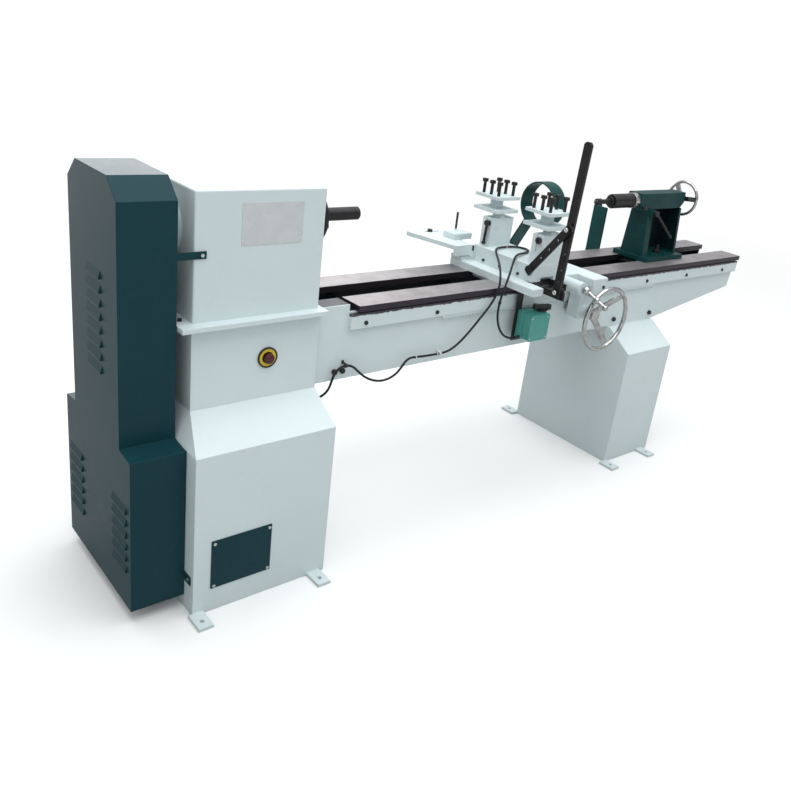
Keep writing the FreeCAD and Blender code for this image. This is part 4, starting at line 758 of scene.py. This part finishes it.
cableSleeves = {
    "places": {
        "glandSleeve": ((0.2625, -0.120, 0.530), (1, 0, 0), "base", "cable_clips"),
        "boxSleeve": ((1.1165, -0.20008, 0.657), (-1, 0, 0.02), "carriage", "switch_box"),
    },
    "wide": 0.0070,
    "narrow": 0.0046,
    "long": 0.022,
    "ribs": 5,
    "ribDeep": 0.0007,
    "sides": 20,
}


def sleeveOutline(look):
    outline = [(0, look["wide"])]
    for k in range(look["ribs"]):
        share = (k + 0.5) / look["ribs"]
        radius = look["wide"] + (look["narrow"] - look["wide"]) * share
        here = look["long"] * share
        step = look["long"] / look["ribs"] * 0.25
        outline += [(here - step, radius), (here, radius - look["ribDeep"]), (here + step, radius)]
    return outline + [(look["long"], look["narrow"])]


for name, (start, along, body, slot) in cableSleeves["places"].items():
    sleeve = spun(name, sleeveOutline(cableSleeves), start, along, cableSleeves["sides"])
    addPiece(name, sleeve, "blackKnob", body)
print("strain reliefs slid on")

switchCover = {
    "middle": (1.172, -0.2410, 0.6985),
    "wide": 0.104,
    "high": 0.099,
    "thick": 0.0016,
    "corner": 0.008,
    "screwInset": 0.010,
    "screwRadius": 0.0034,
    "screwRise": 0.0014,
    "screwSides": 18,
}
addPiece("switchCover", uprightPlate("switchCover", switchCover), "switchJade", "carriage")
for number, spot in enumerate(plateCorners(switchCover, switchCover["screwInset"])):
    name = "coverScrew%d" % number
    screwOutline = headOutline(switchCover["screwRadius"], switchCover["screwRise"])
    screw = spun(name, screwOutline, spot, (0, -1, 0), switchCover["screwSides"])
    addPiece(name, screw, "zincPlate", "carriage")
print("switch cover screwed on")


# Floor, backdrop and lamps
studio = {
    "floorRadius": 40,
    "floorMiddle": (1.0, 0, -0.0005),
    "floorColour": (0.90, 0.905, 0.90),
    "floorBounce": 0.55,
    "whiteFrom": 2.2,
    "whiteTo": 7.0,
    "skyStrength": 0.95,
    "horizonStrength": 0.30,
    "skyColour": (0.95, 0.98, 1.0),
    # each lamp: where it stands, what it faces, its width and height, and its watts
    "lamps": {
        "topLamp": ((0.9, -0.3, 4.6), (0.9, 0, 0), 5.5, 5.5, 176),
        "frontLamp": ((-2.6, -4.2, 2.6), (0.9, 0, 0.7), 3.0, 3.0, 24),
        "backLamp": ((3.5, 8.0, 3.0), (0.3, 0, 1.1), 6.0, 3.0, 140),
    },
}


def whiteWhere(tree, share, plain, kind, output):
    # Plain white takes over where share is 1
    white = addNode(tree, kind, Strength=1.0)
    white.inputs["Color"].default_value = (1, 1, 1, 1)
    both = addNode(tree, "ShaderNodeMixShader")
    for value, socket in zip((share, plain.outputs[0], white.outputs[0]), both.inputs):
        tree.links.new(value, socket)
    tree.links.new(both.outputs[0], tree.nodes[output].inputs["Surface"])


def buildStudio(look):
    made = bmesh.new()
    bmesh.ops.create_circle(made, cap_ends=True, segments=96, radius=look["floorRadius"])
    mesh = bpy.data.meshes.new("floor")
    made.to_mesh(mesh)
    made.free()
    floor = bpy.data.objects.new("floor", mesh)
    floor.location = look["floorMiddle"]
    scene.collection.objects.link(floor)
    material, tree, shader, place = startFinish("floorPaper")
    rays = addNode(tree, "ShaderNodeLightPath")
    bounce = [share * look["floorBounce"] for share in look["floorColour"]]
    paper = mixColour(tree, rays.outputs["Is Camera Ray"], bounce, look["floorColour"])
    tree.links.new(paper, shader.inputs["Base Color"])
    shader.inputs["Roughness"].default_value = 0.9
    shader.inputs["Specular IOR Level"].default_value = 0.1
    span = addNode(tree, "ShaderNodeVectorMath", operation="LENGTH")
    tree.links.new(place, span.inputs[0])
    far = ramp(tree, span.outputs["Value"], look["whiteFrom"], look["whiteTo"])
    seen = maths(tree, "MAXIMUM", rays.outputs["Is Camera Ray"], rays.outputs["Is Glossy Ray"])
    seen = maths(tree, "MAXIMUM", seen, rays.outputs["Is Transmission Ray"])
    share = maths(tree, "MULTIPLY", far, seen)
    whiteWhere(tree, share, shader, "ShaderNodeEmission", "Material Output")
    floor.data.materials.append(material)

    world = bpy.data.worlds.new("studio")
    scene.world = world
    world.use_nodes = True
    tree = world.node_tree
    rays = addNode(tree, "ShaderNodeLightPath")
    seen = maths(tree, "MAXIMUM", rays.outputs["Is Camera Ray"], rays.outputs["Is Transmission Ray"])
    sky = tree.nodes["Background"]
    sky.inputs["Color"].default_value = (*look["skyColour"], 1)
    ahead = addNode(tree, "ShaderNodeTexCoord").outputs["Generated"]
    rise = ramp(tree, height(tree, ahead), 0.05, 0.75, look["horizonStrength"], look["skyStrength"])
    tree.links.new(rise, sky.inputs["Strength"])
    whiteWhere(tree, seen, sky, "ShaderNodeBackground", "World Output")

    for name, (spot, aim, wide, high, watts) in look["lamps"].items():
        lampData = bpy.data.lights.new(name, "AREA")
        lampData.shape = "RECTANGLE"
        lampData.size = wide
        lampData.size_y = high
        lampData.energy = watts
        lamp = bpy.data.objects.new(name, lampData)
        lamp.location = spot
        lamp.rotation_euler = (Vector(aim) - Vector(spot)).to_track_quat("-Z", "Y").to_euler()
        lamp.visible_camera = False
        scene.collection.objects.link(lamp)


buildStudio(studio)
scene.view_settings.view_transform = "Standard"
print("studio lit")
